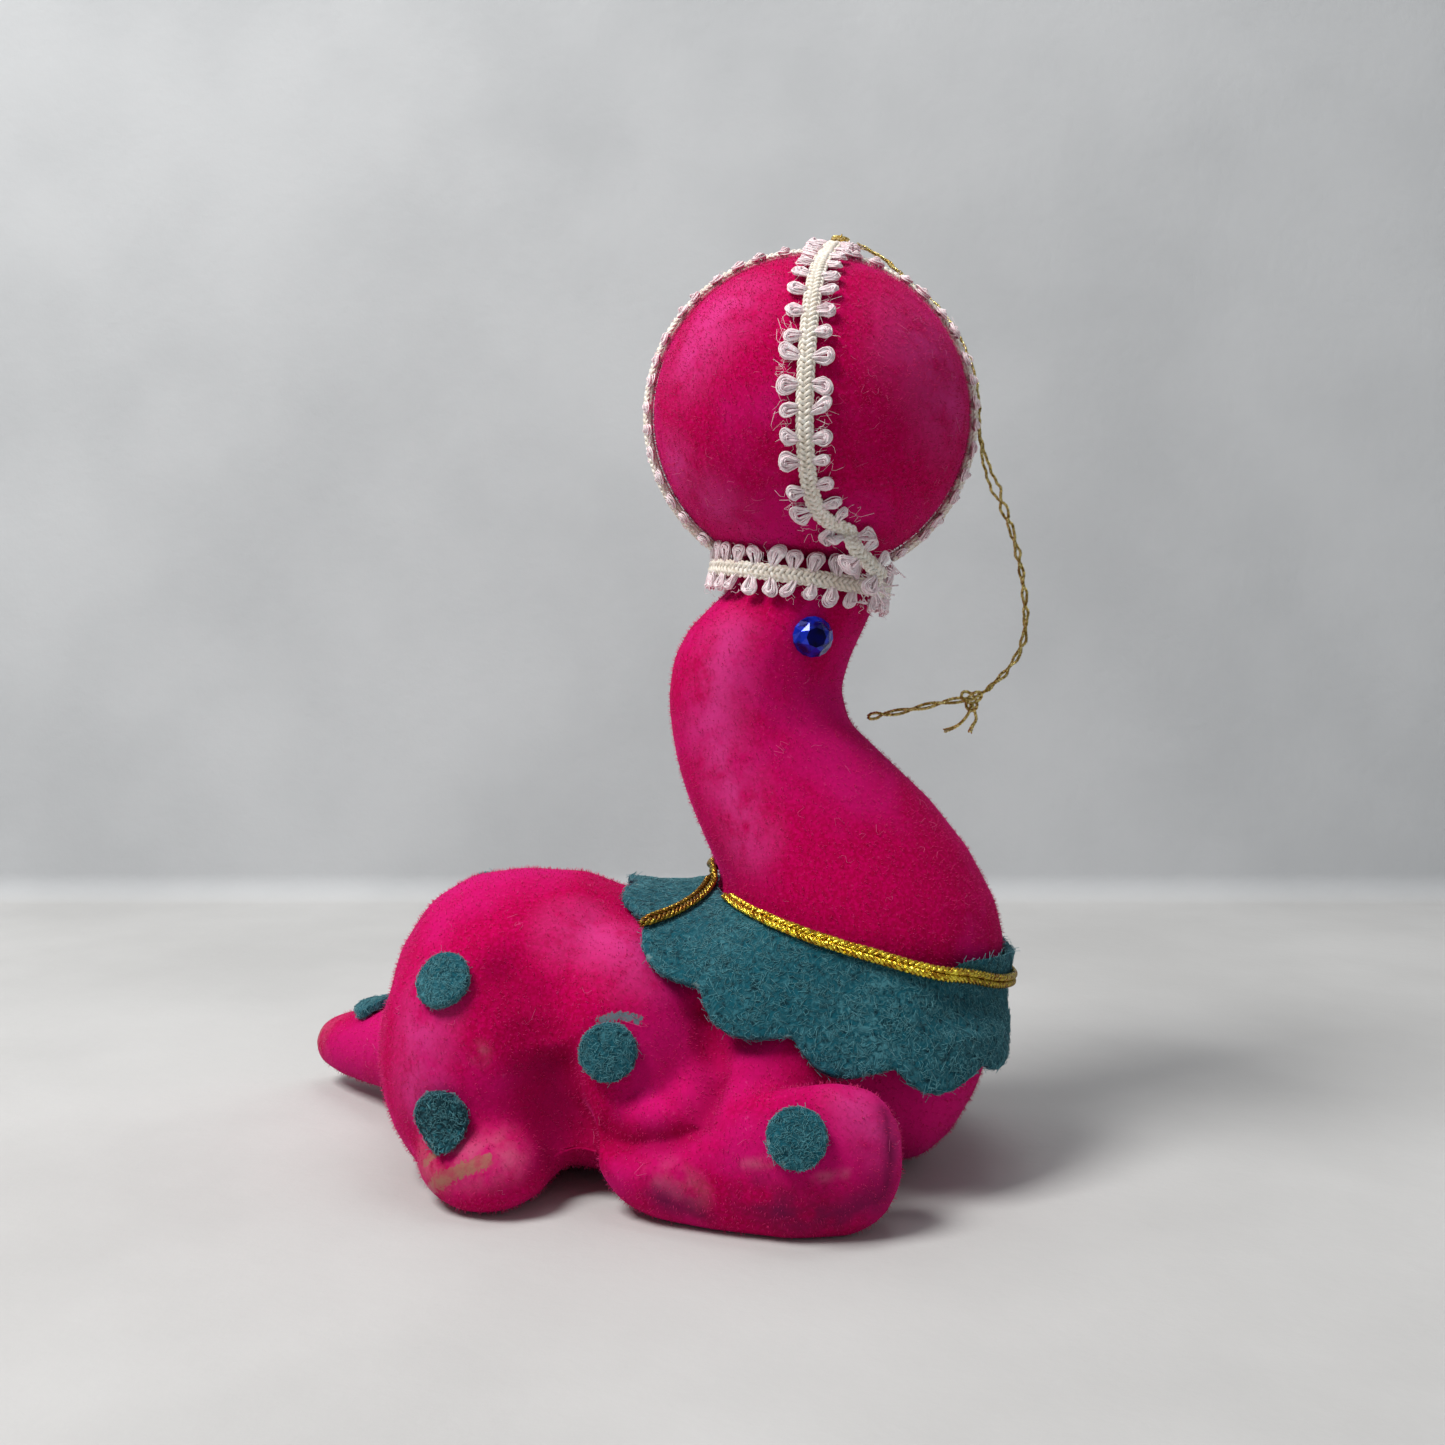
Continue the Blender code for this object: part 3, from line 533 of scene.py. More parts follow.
def largest_shell(obj):
    """Drops every part of a mesh but its largest connected one."""
    bm = bmesh.new()
    bm.from_mesh(obj.data)
    left, shells = set(bm.verts), []
    while left:
        seed = left.pop()
        shell, edge = [seed], [seed]
        while edge:
            near = [link.other_vert(vert) for vert in edge for link in vert.link_edges]
            edge = [vert for vert in set(near) if vert in left]
            left.difference_update(edge)
            shell.extend(edge)
        shells.append(shell)
    shells.sort(key=len)
    for shell in shells[:-1]:
        bmesh.ops.delete(bm, geom=shell, context="VERTS")
    bm.to_mesh(obj.data)
    bm.free()


def surface_samples(obj, count, rng, keep=None):
    """Points scattered evenly by area over a mesh, their normals, and a chosen attribute there."""
    mesh = obj.data
    mesh.calc_loop_triangles()
    points = read_rows(mesh.vertices, "co")
    corners = read_rows(mesh.loop_triangles, "vertices", np.int32)
    a, b, c = (points[corners[:, i]] for i in range(3))
    cross = np.cross(b - a, c - a)
    area = np.linalg.norm(cross, axis=1)
    if keep is not None:
        area = area * keep((a + b + c) / 3)
    chosen = rng.choice(len(area), count, p=area / area.sum())
    u, v = rng.random((2, count, 1))
    over = (u + v) > 1
    u, v = np.where(over, 1 - u, u), np.where(over, 1 - v, v)
    place = a[chosen] + (b - a)[chosen] * u + (c - a)[chosen] * v
    return place, unit(cross[chosen])


def tangent_ways(normals, rng):
    """A random direction along the surface at each point."""
    ways = rng.normal(size=normals.shape)
    return unit(ways - normals * (ways * normals).sum(1, keepdims=True))


def spikes(name, place, normal, material, rng, length, width, lean):
    """Short stiff fibres that stand on a surface, each a thin closed spike."""
    count = len(place)
    way = tangent_ways(normal, rng)
    other = np.cross(normal, way)
    tall = length * rng.uniform(0.6, 1.2, (count, 1))
    tip = place + normal * tall + way * tall * lean * rng.uniform(0.2, 1.2, (count, 1))
    root = place - normal * width
    ring = [root + (way * math.cos(t) + other * math.sin(t)) * width for t in (0, 2.094, 4.189)]
    points = np.stack([*ring, tip], axis=1).reshape(-1, 3)
    shape = np.array([(0, 1, 3), (1, 2, 3), (2, 0, 3), (2, 1, 0)])
    faces = (shape[None] + 4 * np.arange(count)[:, None, None]).reshape(-1, 3)
    return mesh_object(name, points, [faces], material)


def curled_hairs(bundle, place, normal, rng, length, radius, lift, steps=6, curl=1.6):
    """Fine curved fibres that lie along a surface."""
    count = len(place)
    way = tangent_ways(normal, rng)
    other = np.cross(normal, way)
    size = length * rng.uniform(0.5, 1.3, (count, 1, 1))
    t = np.linspace(-0.5, 0.5, steps)[None, :, None]
    bend = rng.normal(0, curl, (count, 1, 1))
    wave = rng.normal(0, 0.25, (count, 1, 1))
    height = lift * rng.uniform(0.2, 1.0, (count, 1, 1))
    path = place[:, None] + way[:, None] * size * np.sin(t * 2) / 2
    path = path + other[:, None] * size * (bend * (t**2) * 0.5 + wave * np.sin(t * 9))
    path = path + normal[:, None] * height * (0.4 + np.cos(t * 5 + bend))
    bundle.tubes(path, normal[:, None], radius, 3)


# ---------------------------------------------------------------- the hanging thread

THREAD_ROUTE = (
    (5.2, 1.0, 106.8), (8.6, 1.5, 105.1), (11.6, 2.3, 102.5), (14.7, 2.4, 99.7),
    (17.3, 2.4, 96.1), (19.1, 2.3, 92.0), (19.8, 2.2, 88.0), (20.0, 2.0, 84.4),
    (20.9, 1.8, 80.2), (22.5, 1.5, 76.2), (23.9, 1.2, 72.0), (24.8, 0.9, 67.6),
    (25.2, 0.6, 63.2), (24.8, 0.4, 59.4), (23.0, 0.2, 56.3), (20.3, 0.0, 53.8),
)
KNOT_PLACE = (18.7, 0.0, 52.8)
FAR_BEND_ROUTE = (
    (16.9, 0.0, 52.7), (14.6, 0.0, 52.3), (11.0, 0.0, 51.5), (8.0, 0.0, 51.0), (6.9, 0.0, 50.8),
)
STRAND_REST = 0.26 * MM
THREAD_OPENING = 0.5 * MM
PLY_RADIUS = 0.105 * MM
FLOSS_RADIUS = 0.09 * MM


def strand_path(side_sign):
    """One strand from the eye to the knot: it opens from its neighbour half way and winds round it below."""
    route = through(drawn(*THREAD_ROUTE, KNOT_PLACE), 12)
    route = evenly(route, 0.25 * MM)
    side, up = carried_frames(route)
    reach = lengths_along(route) / lengths_along(route)[-1]
    opening = np.exp(-(((reach - 0.5) / 0.09) ** 2))
    wind = 2 * math.pi * (1.2 * reach + 5.0 * np.clip(reach - 0.55, 0, 1) / 0.45)
    apart = STRAND_REST + THREAD_OPENING * opening
    apart = apart * np.clip((1 - reach) * 12, 0.35, 1)
    kink = 0.1 * MM * np.sin(reach * 210 + side_sign) * np.sin(reach * 57)
    turn = wind + (0 if side_sign > 0 else math.pi)
    offset = side * np.cos(turn)[:, None] + up * np.sin(turn)[:, None]
    return route + offset * apart[:, None] + up * kink[:, None]


def far_bend_path():
    """From the knot out to the far bend and back, as one wound pair with a tiny open end."""
    route = evenly(through(drawn(KNOT_PLACE, *FAR_BEND_ROUTE), 12), 0.2 * MM)
    side, up = carried_frames(route)
    reach = lengths_along(route) / lengths_along(route)[-1]
    wind = 2 * math.pi * 1.7 * reach
    offset = side * np.cos(wind)[:, None] + up * np.sin(wind)[:, None]
    apart = (STRAND_REST + 0.3 * MM * np.exp(-(((reach - 0.93) / 0.06) ** 2)))[:, None]
    there, back = route + offset * apart, (route - offset * apart)[::-1]
    middle = (there[-1] + back[0]) / 2
    ahead = unit(route[-1] - route[-4])
    arm = there[-1] - middle
    turns = np.linspace(0, math.pi, 9)[1:-1, None]
    tip = middle + arm * np.cos(turns) + ahead * np.linalg.norm(arm) * np.sin(turns) * 1.2
    return np.vstack([there, tip, back])


def wind_thread(name, path, gold):
    """A thread of three plies along a path."""
    plies, away = wound(path, 0.125 * MM, 1.15 * MM)
    bundle = Bundle()
    bundle.tubes(plies, away, PLY_RADIUS, 5)
    return bundle.object(name, gold)


def make_thread(gold):
    right = strand_path(-1)
    left = np.vstack([strand_path(1)[:-1], far_bend_path()])
    left = evenly(left, 0.22 * MM)
    knot = make_knot(gold)
    right_piece = wind_thread("thread_right", right, gold)
    left_piece = wind_thread("thread_left", left, gold)
    settle(right_piece, THREAD_LOOP, "thread_right_strand", "thread_right_strand")
    settle(left_piece, THREAD_LOOP, "thread_left_strand", "thread_left_strand", "thread_far_bend")
    settle(knot, THREAD_LOOP, "thread_knot", "thread_knot")


def make_knot(gold):
    """An overhand knot drawn tight, with its two cut ends hanging from it."""
    centre = drawn(KNOT_PLACE)[0]
    t = np.linspace(0, 2 * math.pi, 90)
    size = 0.46 * MM
    knot = np.stack(
        [
            np.sin(t) + 2 * np.sin(2 * t),
            1.3 * np.sin(3 * t),
            np.cos(t) - 2 * np.cos(2 * t),
        ],
        axis=1,
    )
    knot = centre + knot * size * (0.95, 0.75, 0.95)
    bundle = Bundle()
    plies, away = wound(knot)
    bundle.tubes(plies, away, PLY_RADIUS, 5)
    ends = (
        ((0, 0, -0.4), (-0.4, -0.3, -1.6), (-1.3, -0.5, -2.7), (-2.2, -0.4, -3.3), (-3.3, -0.3, -3.7)),
        ((0, 0, -0.4), (0.4, 0.3, -1.4), (0.6, 0.4, -2.4), (0.1, 0.2, -3.2), (-0.2, 0.1, -3.9)),
    )
    for end in ends:
        path = evenly(through(centre + np.array(end) * MM, 10), 0.12 * MM)
        plies, away = wound(path)
        share = np.linspace(0, 1, len(path))[None, :, None]
        frayed = plies + away * 0.35 * MM * np.clip(share - 0.55, 0, 1) ** 1.5
        bundle.tubes(frayed, away, 0.1 * MM, 5)
    return bundle.object("thread_tie", gold)


def make_thread_eye(gold):
    """The small sewn eye that the thread passes through, held by three stitches."""
    centre = np.array(THREAD_EYE)
    up = unit(centre - BALL_CENTRE)
    side = np.array([0.0, 1.0, 0.0])
    ahead = np.cross(side, up)
    t = np.linspace(0, 2 * math.pi, 60)[:, None]
    ring = centre + (ahead * np.cos(t) + side * np.sin(t)) * 0.9 * MM
    out = unit(ring - centre)
    bundle = Bundle()
    plies, away = twisted(ring, out, np.broadcast_to(up, ring.shape), 3, 0.13 * MM, 0.94 * MM)
    bundle.tubes(plies, away, 0.12 * MM, 5)
    for turn in (0.6, 2.6, 4.7):
        foot = centre + (ahead * math.cos(turn) + side * math.sin(turn)) * 0.9 * MM
        way = unit(foot - centre)
        arc = np.linspace(-0.35 * math.pi, 1.35 * math.pi, 14)[:, None]
        loop = foot + (way * np.cos(arc) + up * np.sin(arc)) * 0.34 * MM
        bundle.tubes(loop[None], np.cross(way, up), 0.09 * MM, 5)
    settle(bundle.object("sewn_eye", gold), ORNAMENT, "thread_eye", "thread_eye")


# ---------------------------------------------------------------- gimp braid

GIMP_HALF = 3.1 * MM
CORE_HALF = 0.85 * MM
LOOP_PITCH = 2.8 * MM
BRAID_STEP = 0.16 * MM


class Ribbon:
    """A strip that follows a surface: points along it, with ways out of it and across it."""

    def __init__(self, base, out):
        self.base = np.asarray(base)
        self.out = unit(np.asarray(out))
        self.reach = lengths_along(self.base)
        ahead = unit(np.gradient(self.base, axis=0))
        self.side = unit(np.cross(ahead, self.out))
        self.length = self.reach[-1]

    def read(self, values, along):
        return np.stack([np.interp(along, self.reach, values[:, i]) for i in range(3)], axis=-1)

    def place(self, along, across, height):
        """Points at these distances along, across and above the strip, and the way out there."""
        out = self.read(self.out, along)
        side = self.read(self.side, along)
        point = self.read(self.base, along) + side * across[..., None] + out * height[..., None]
        return point, out


def gimp_core(bundle, ribbon, half, crown):
    """The satin plait down the middle: three strands between two corded rims."""
    along = np.arange(0, ribbon.length, BRAID_STEP)
    tuck = half * 0.62
    plait = []
    for k in range(3):
        turn = 2 * math.pi * (along / (1.9 * MM) + k / 3)
        plait.append((along, tuck * np.sin(turn), crown + 0.17 * MM * np.sin(2 * turn)))
    for rim in (-1, 1):
        for k in range(2):
            turn = rim * 2 * math.pi * along / (1.3 * MM) + math.pi * k
            across = rim * half * 0.86 + 0.12 * MM * np.cos(turn)
            plait.append((along, across, crown * 0.8 + 0.12 * MM * np.sin(turn)))
    radii = [0.25 * MM] * 3 + [0.16 * MM] * 4
    for share in (-0.6, 0.0, 0.6):
        plait.append((along, np.full(len(along), share * half), np.full(len(along), crown * 0.45)))
    radii += [crown * 0.45] * 3
    for (s, across, height), radius in zip(plait, radii):
        path, out = ribbon.place(s, across, height)
        bundle.tubes(path[None], out[None], radius, 6)


def gimp_loops(bundle, ribbon, half, reach, pitch, rng, side_sign, crown, strands=16):
    """Curls of floss along one edge, each a round head of many filaments on a narrow neck."""
    count = int(ribbon.length / pitch)
    centre = (np.arange(count) + 0.5 + rng.normal(0, 0.06, count)) * pitch
    size = rng.uniform(0.85, 1.12, count)[:, None, None]
    lean = rng.normal(0, 0.2, count)[:, None, None]
    squeeze = rng.uniform(0.9, 1.25, count)[:, None, None]
    steps = 14
    t = np.linspace(0, 1, steps)[None, None, :]
    shape = (count, strands, steps)
    share = (np.arange(strands)[None, :, None] + rng.random((count, strands, 1))) / strands
    ring = reach * 0.4 * size * (0.16 + 0.84 * share**0.8)
    far = reach * size * (0.6 + 0.05 * rng.normal(0, 1, (count, strands, 1)))
    shift = 0.09 * MM * rng.normal(0, 1, (count, strands, 1))
    turn = (t - 0.5) * 2 * math.pi * 0.84 + 0.25 * rng.normal(0, 1, (count, strands, 1))
    u = ring * squeeze * np.sin(turn) + shift
    v = far + ring * np.cos(turn)
    neck = np.clip(np.abs(t - 0.5) * 2 - 0.74, 0, 1) / 0.26
    stem = (0.1 + 0.26 * share) * MM * np.sign(t - 0.5)
    u = u * (1 - neck) + stem * neck
    v = v * (1 - neck) - 0.25 * MM * neck
    u = u + v * lean
    lift = rng.normal(0, 0.12, (count, strands, 1)) * MM
    round_up = 0.5 * MM * np.sqrt(np.clip(1.02 - share, 0, 1)) * (1 - neck * 0.6)
    height = crown * 0.5 + lift + round_up + 0.12 * MM * np.sin(turn * 2 + share * 5)
    along = np.clip(np.broadcast_to(centre[:, None, None] + u, shape), 0, ribbon.length)
    across = np.broadcast_to(side_sign * (half + v), shape)
    height = np.maximum(np.broadcast_to(height, shape), 0.1 * MM)
    path, out = ribbon.place(along, across, height)
    path = path.reshape(-1, steps, 3)
    bundle.tubes(path, out.reshape(-1, steps, 3), FLOSS_RADIUS, 4)


def frayed_end(bundle, ribbon, at_start, rng, strands=14):
    """Loose ends of floss where a braid was cut."""
    end = 0.0 if at_start else ribbon.length
    t = np.linspace(0, 1, 8)[None, :]
    across = rng.uniform(-1, 1, (strands, 1)) * GIMP_HALF * 0.7
    size = rng.uniform(0.8, 2.4, (strands, 1)) * MM
    fan = rng.normal(0, 0.35, (strands, 1))
    base, out = ribbon.place(np.full((strands, 8), end), across + t * size * fan, 0.3 * MM + t * 0)
    ahead = unit(ribbon.base[0] - ribbon.base[1]) if at_start else unit(ribbon.base[-1] - ribbon.base[-2])
    bend = rng.normal(0.15, 0.3, (strands, 1)) * t**2
    path = base + ahead * (size * t)[..., None] + out * (size * bend)[..., None]
    bundle.tubes(path, out, FLOSS_RADIUS, 4)


def make_gimp(name, ribbon, floss, satin, node, rng, low_reach, high_reach, pitch, fray=(), crown=0.5):
    """A whole braid as two pieces: its satin core and its curls of floss."""
    core = Bundle()
    gimp_core(core, ribbon, CORE_HALF, crown * MM)
    settle(core.object(name + "_core", satin), ORNAMENT, node, node)
    curls = Bundle()
    for sign, reach in ((-1, low_reach), (1, high_reach)):
        gimp_loops(curls, ribbon, CORE_HALF, reach, pitch, rng, sign, crown * MM)
    for at_start in fray:
        frayed_end(curls, ribbon, at_start, rng)
    count = int(ribbon.length / MM * 2.2)
    across = rng.choice((-1, 1), count) * (CORE_HALF + rng.uniform(0.2, 1.0, count) * low_reach)
    place, out = ribbon.place(rng.uniform(0, ribbon.length, count), across, np.full(count, 0.4 * MM))
    curled_hairs(curls, place, out, rng, 1.9 * MM, 0.022 * MM, 0.5 * MM)
    settle(curls.object(name + "_curls", floss), ORNAMENT, node)


def on_ball(up_deg, lean):
    """Unit vectors from the ball's centre: 0 is the seal's right side and 90 is the top."""
    angle = np.radians(up_deg)
    return unit(np.stack([np.asarray(lean), -np.cos(angle), np.sin(angle)], axis=-1))


CROSS_BRAID_END = ((7.0, -9.8, 66.9), (5.6, -11.2, 68.2), (3.8, -12.5, 70.0))


def make_ball_braids(floss, satin, rng):
    low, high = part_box("ball_braid_long")
    lift = BALL_RADIUS + 0.12 * MM
    lowest = math.asin(max(-1.0, (low.z + 0.6 * MM - BALL_CENTRE[2]) / (BALL_RADIUS + 0.3 * MM)))
    tucked = lowest - math.radians(10)
    turn = np.linspace(tucked, math.pi - tucked, 400)
    ways = np.stack([np.cos(turn), np.zeros(400), np.sin(turn)], axis=1)
    ribbon = Ribbon(BALL_CENTRE + ways * lift, ways)
    make_gimp(
        "long_braid", ribbon, floss, satin, "ball_braid_long", rng, 1.9 * MM, 1.9 * MM, LOOP_PITCH, (), 0.8
    )

    route = (
        (math.degrees(lowest), 0.2),
        (-40, 0.0),
        (-20, -0.08),
        (10, -0.08),
        (45, -0.01),
        (75, 0.10),
        (90, 0.17),
        (110, 0.14),
        (150, 0.02),
        (200, 0.0),
        (180 - math.degrees(lowest), 0.05),
    )
    knots = np.array(route)
    ways = through(on_ball(knots[:, 0], knots[:, 1]), 40)
    ways = unit(ways)
    crossing = on_ball(90.0, 0.17)
    away = np.arccos(np.clip(ways @ crossing, -1, 1)) * BALL_RADIUS
    rise = 0.95 * MM * np.clip((6.5 * MM - away) / (3.2 * MM), 0, 1)
    base = BALL_CENTRE + ways * (lift + rise)[:, None]
    # The lower right end leaves the ball and lies bunched over the neck's braid.
    end = drawn(*CROSS_BRAID_END)
    base = np.vstack([through([*end, base[2]], 20)[:-1], base[2:]])
    tail = unit((end - drawn((-0.8, 0.0, 70.0))) * (1, 1, 0.3))
    outs = np.vstack([through([*tail, ways[2]], 20)[:-1], ways[2:]])
    ribbon = Ribbon(evenly(base, 0.25 * MM), resampled(base, outs, 0.25 * MM))
    make_gimp(
        "cross_braid",
        ribbon,
        floss,
        satin,
        "ball_braid_cross",
        rng,
        1.95 * MM,
        1.85 * MM,
        LOOP_PITCH,
        (True, False),
    )


def make_neck_braid(floss, satin, rng):
    """The braid round the joint of head and ball, laid on the inner face of its CAD strip."""
    tree = tree_of(NODES["neck_braid"])
    low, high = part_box("neck_braid")
    centre = (low + high) / 2
    slope = math.radians(-8)
    forward = Vector((math.cos(slope), 0, math.sin(slope)))
    base, outs = [], []
    for turn in np.linspace(math.radians(-40), math.radians(320), 260):
        out = forward * math.cos(turn) + Vector((0, 1, 0)) * math.sin(turn)
        place = tree.ray_cast(centre, out)[0]
        base.append(place - out * 0.2 * MM)
        outs.append(out)
    ribbon = Ribbon(np.array(base), np.array(outs))
    make_gimp(
        "neck_braid", ribbon, floss, satin, "neck_braid", rng, 2.0 * MM, 1.8 * MM, 2.3 * MM, (True, False)
    )


# ---------------------------------------------------------------- flocked body and ball

SEAM_HALF = 0.01 * MM
GROOVE_DEPTH, GROOVE_HALF = 0.28 * MM, 0.5 * MM
SKIN_VOXEL = 0.42 * MM


def near_line(points, line, reach):
    """From 1 on a line to 0 at a distance from it."""
    closest = np.full(len(points), np.inf)
    for one, two in zip(line[:-1], line[1:]):
        span = two - one
        share = np.clip(((points - one) @ span) / (span @ span), 0, 1)
        closest = np.minimum(closest, np.linalg.norm(points - one - share[:, None] * span, axis=1))
    return np.clip(1 - closest / reach, 0, 1)


# Marks on the skin: which side (-1 the right, 1 the left), places as seen from that side, forward
# and up in drawn millimetres, and how far the mark reaches from the line through them.
WORN = (
    (-1, ((-41.5, 2), (-40, 4), (-37.5, 5.5), (-35, 6.5)), 1.7),
    (-1, ((-42, 5), (-40.5, 6.5), (-39, 7.5)), 0.9),
    (1, ((-65, 5), (-63.5, 6.5)), 7.5),
)
PALE = (
    (-1, ((-42, 5), (-38, 6), (-33.5, 7)), 4.2),
    (-1, ((-36, 17), (-36, 16.5)), 1.5),
    (1, ((-60, 7), (-64, 7)), 8.5),
    (-1, ((-17, 5.5), (-14, 4.5)), 3.0),
    (-1, ((-14.5, 3), (-14, 3)), 0.9),
    (-1, ((-8.5, 8), (-6, 8.5)), 0.8),
    (-1, ((-1.5, 7), (1.5, 7.5)), 0.8),
)
# Darker patches low on the body: along its bottom over the floor, and down the front flipper's forward edge.
LOW_DARK_MARKS = (
    (-1, ((-7, 4.5), (-3, 3), (1, 3), (5, 4.5)), 4.2),
    (-1, ((-17.5, 3.5), (-13, 2.5)), 2.6),
    (-1, ((5.5, 12.5), (6, 9), (5.5, 5)), 1.6),
)
SMEAR = ((-1, ((-23.5, 20), (-21.5, 20.5), (-19.5, 20)), 0.9),)
# Painted sheen on the body: lighter streaks where the light grazes the haunch's rim, the neck, the upper
# body and the flipper.
SHEEN_MARKS = (
    (-1, ((2, 14), (5.5, 10)), 4.0),
    (-1, ((-42, 22), (-43, 12)), 5.5),
    (-1, ((-10, 60), (-12, 50), (-8, 38)), 5.5),
    (-1, ((-26, 28), (-20, 26)), 7.0),
)
# Painted sheen on the ball: lighter streaks where the light grazes its flock.
BALL_SHEEN_MARKS = (
    (-1, ((11.5, 92), (14.5, 87)), 10.0),
    (-1, ((-10, 97), (-14, 92)), 7.5),
    (-1, ((-16, 80), (-10, 74)), 5.0),
)
# Folds of the moulded body, the same on both sides: places as above, half width and depth.
FOLDS = (
    (((-33.5, 24), (-31, 21), (-29.5, 17.5), (-28.5, 14)), 2.8, 1.4),
    (((-28.5, 14.5), (-27.5, 10), (-26, 6.5), (-25, 3)), 3.2, 2.7),
    (((-12.5, 20), (-12, 17), (-12, 14.5)), 1.9, 1.9),
    (((-12, 14.5), (-13.5, 11.5), (-16.5, 9.5), (-21, 8.5), (-24, 8.5)), 2.0, 2.5),
)
OUTSIDE = 60 * MM
WITHIN = 15 * MM


def on_skin(tree, side, places):
    """Places seen from one side, found on the skin of that side."""
    found = []
    for forward, up in places:
        x, z = DRAWN_FORWARD + forward * MM, up * MM
        hit = tree.ray_cast(Vector((x, side * OUTSIDE, z)), Vector((0, -side, 0)))[0]
        found.append(hit or tree.find_nearest(Vector((x, side * WITHIN, z)))[0])
    return np.array(found)


def skin_marks(tree, marks):
    return [(on_skin(tree, side, places), reach) for side, places, reach in marks]


def fold_depth(tree, points):
    """How deep the folds are at these places."""
    on_right = np.stack([points[:, 0], -np.abs(points[:, 1]), points[:, 2]], axis=1)
    folds = np.zeros(len(points))
    for places, width, deep in FOLDS:
        near = near_line(on_right, on_skin(tree, -1, places), 3 * width * MM)
        folds = np.maximum(folds, deep * MM * np.exp(-((3 * (1 - near)) ** 2)))
    return folds


def nearness(points, marks):
    """How near each point is to the nearest of these marks: 1 on it, 0 at its reach."""
    value = np.zeros(len(points))
    for line, reach in marks:
        value = np.maximum(value, near_line(points, line, reach * MM))
    return value


def paint(obj, name, marks):
    """Writes how near each vertex is to the nearest of these marks."""
    write_layer(obj.data, name, nearness(read_rows(obj.data.vertices, "co"), marks))


def press_folds(obj):
    """Presses the folds into the skin, and rounds it down towards the seam plane."""
    mesh = obj.data
    points = read_rows(mesh.vertices, "co")
    normals = read_rows(mesh.vertex_normals, "vector")
    groove = GROOVE_DEPTH * np.exp(-((points[:, 1] / GROOVE_HALF) ** 2))
    folds = fold_depth(tree_of(obj), points)
    # The fold depths are also kept as the mask for painted shade in the folds.
    write_layer(mesh, "painted_fold_shade", folds / folds.max())
    depth = groove + folds
    mesh.vertices.foreach_set("co", (points - normals * depth[:, None]).reshape(-1))


def half_of(obj, name, sign):
    """The closed part of a solid on one side of the seam."""
    bm = bmesh.new()
    bm.from_mesh(obj.data)
    geometry = bm.verts[:] + bm.edges[:] + bm.faces[:]
    cut = bmesh.ops.bisect_plane(
        bm, geom=geometry, plane_co=(0, sign * SEAM_HALF, 0), plane_no=(0, -sign, 0), clear_outer=True
    )
    edges = [item for item in cut["geom_cut"] if isinstance(item, bmesh.types.BMEdge)]
    bmesh.ops.holes_fill(bm, edges=edges)
    bmesh.ops.recalc_face_normals(bm, faces=bm.faces)
    mesh = bpy.data.meshes.new(name)
    bm.to_mesh(mesh)
    bm.free()
    mesh.shade_smooth()
    mesh.materials.append(obj.data.materials[0])
    half = linked(name, mesh)
    return half


def unworn(marks):
    """A weight for scattered fibres: none where the flock is rubbed off."""

    def weight(points):
        return np.clip(1.2 - nearness(points, marks) * 2.4, 0, 1)

    return weight


FUZZ_WIDTH, FUZZ_LEAN = 0.04 * MM, 0.7
LINT_COUNT = 110
LINT_LENGTH, LINT_RADIUS, LINT_LIFT = 1.8 * MM, 0.017 * MM, 0.3 * MM


def add_fuzz(name, node, place, normal, fibre, rng, length):
    """The short fibres that stand on a flocked half."""
    fuzz = spikes(name + "_flock", place, normal, fibre, rng, length, FUZZ_WIDTH, FUZZ_LEAN)
    settle(fuzz, ORNAMENT, node)


def add_lint(name, node, place, normal, lint, rng):
    """Loose hairs caught on a flocked half."""
    hairs = Bundle()
    curled_hairs(hairs, place, normal, rng, LINT_LENGTH, LINT_RADIUS, LINT_LIFT)
    settle(hairs.object(name + "_lint", lint), ORNAMENT, node)


def make_body(flock, fibre, lint, rng):
    skin = remeshed("seal_skin", ("body_right_half", "body_left_half"), SKIN_VOXEL, 34, flock, 0.2 * MM)
    press_folds(skin)
    tree = tree_of(skin)
    # Among these marks are painted sheen and darker patches low on the body, beside the flock's real wear,
    # pale patches and glue smear.
    kinds = {"worn": WORN, "pale": PALE, "low_dark": LOW_DARK_MARKS, "smear": SMEAR, "painted_sheen": SHEEN_MARKS}
    marks = {name: skin_marks(tree, kind) for name, kind in kinds.items()}
    weight = unworn(marks["worn"])
    for side, sign in (("right", -1), ("left", 1)):
        name, node = f"seal_{side}", f"body_{side}_half"
        half = half_of(skin, name, sign)
        for kind, lines in marks.items():
            paint(half, kind, lines)
        settle(half, ORNAMENT, node, node)
        count = 30000
        place, normal = surface_samples(half, count, rng, weight)
        open_air = (np.abs(place[:, 1]) > 0.3 * MM) & (place[:, 2] > 0.4 * MM)
        add_fuzz(name, node, place[open_air], normal[open_air], fibre, rng, 0.42 * MM)
        place, normal = surface_samples(half, LINT_COUNT, rng, weight)
        add_lint(name, node, place, normal, lint, rng)
    return skin


BALL_WALL = 1.3 * MM
BALL_AROUND, BALL_DOWN = 96, 48


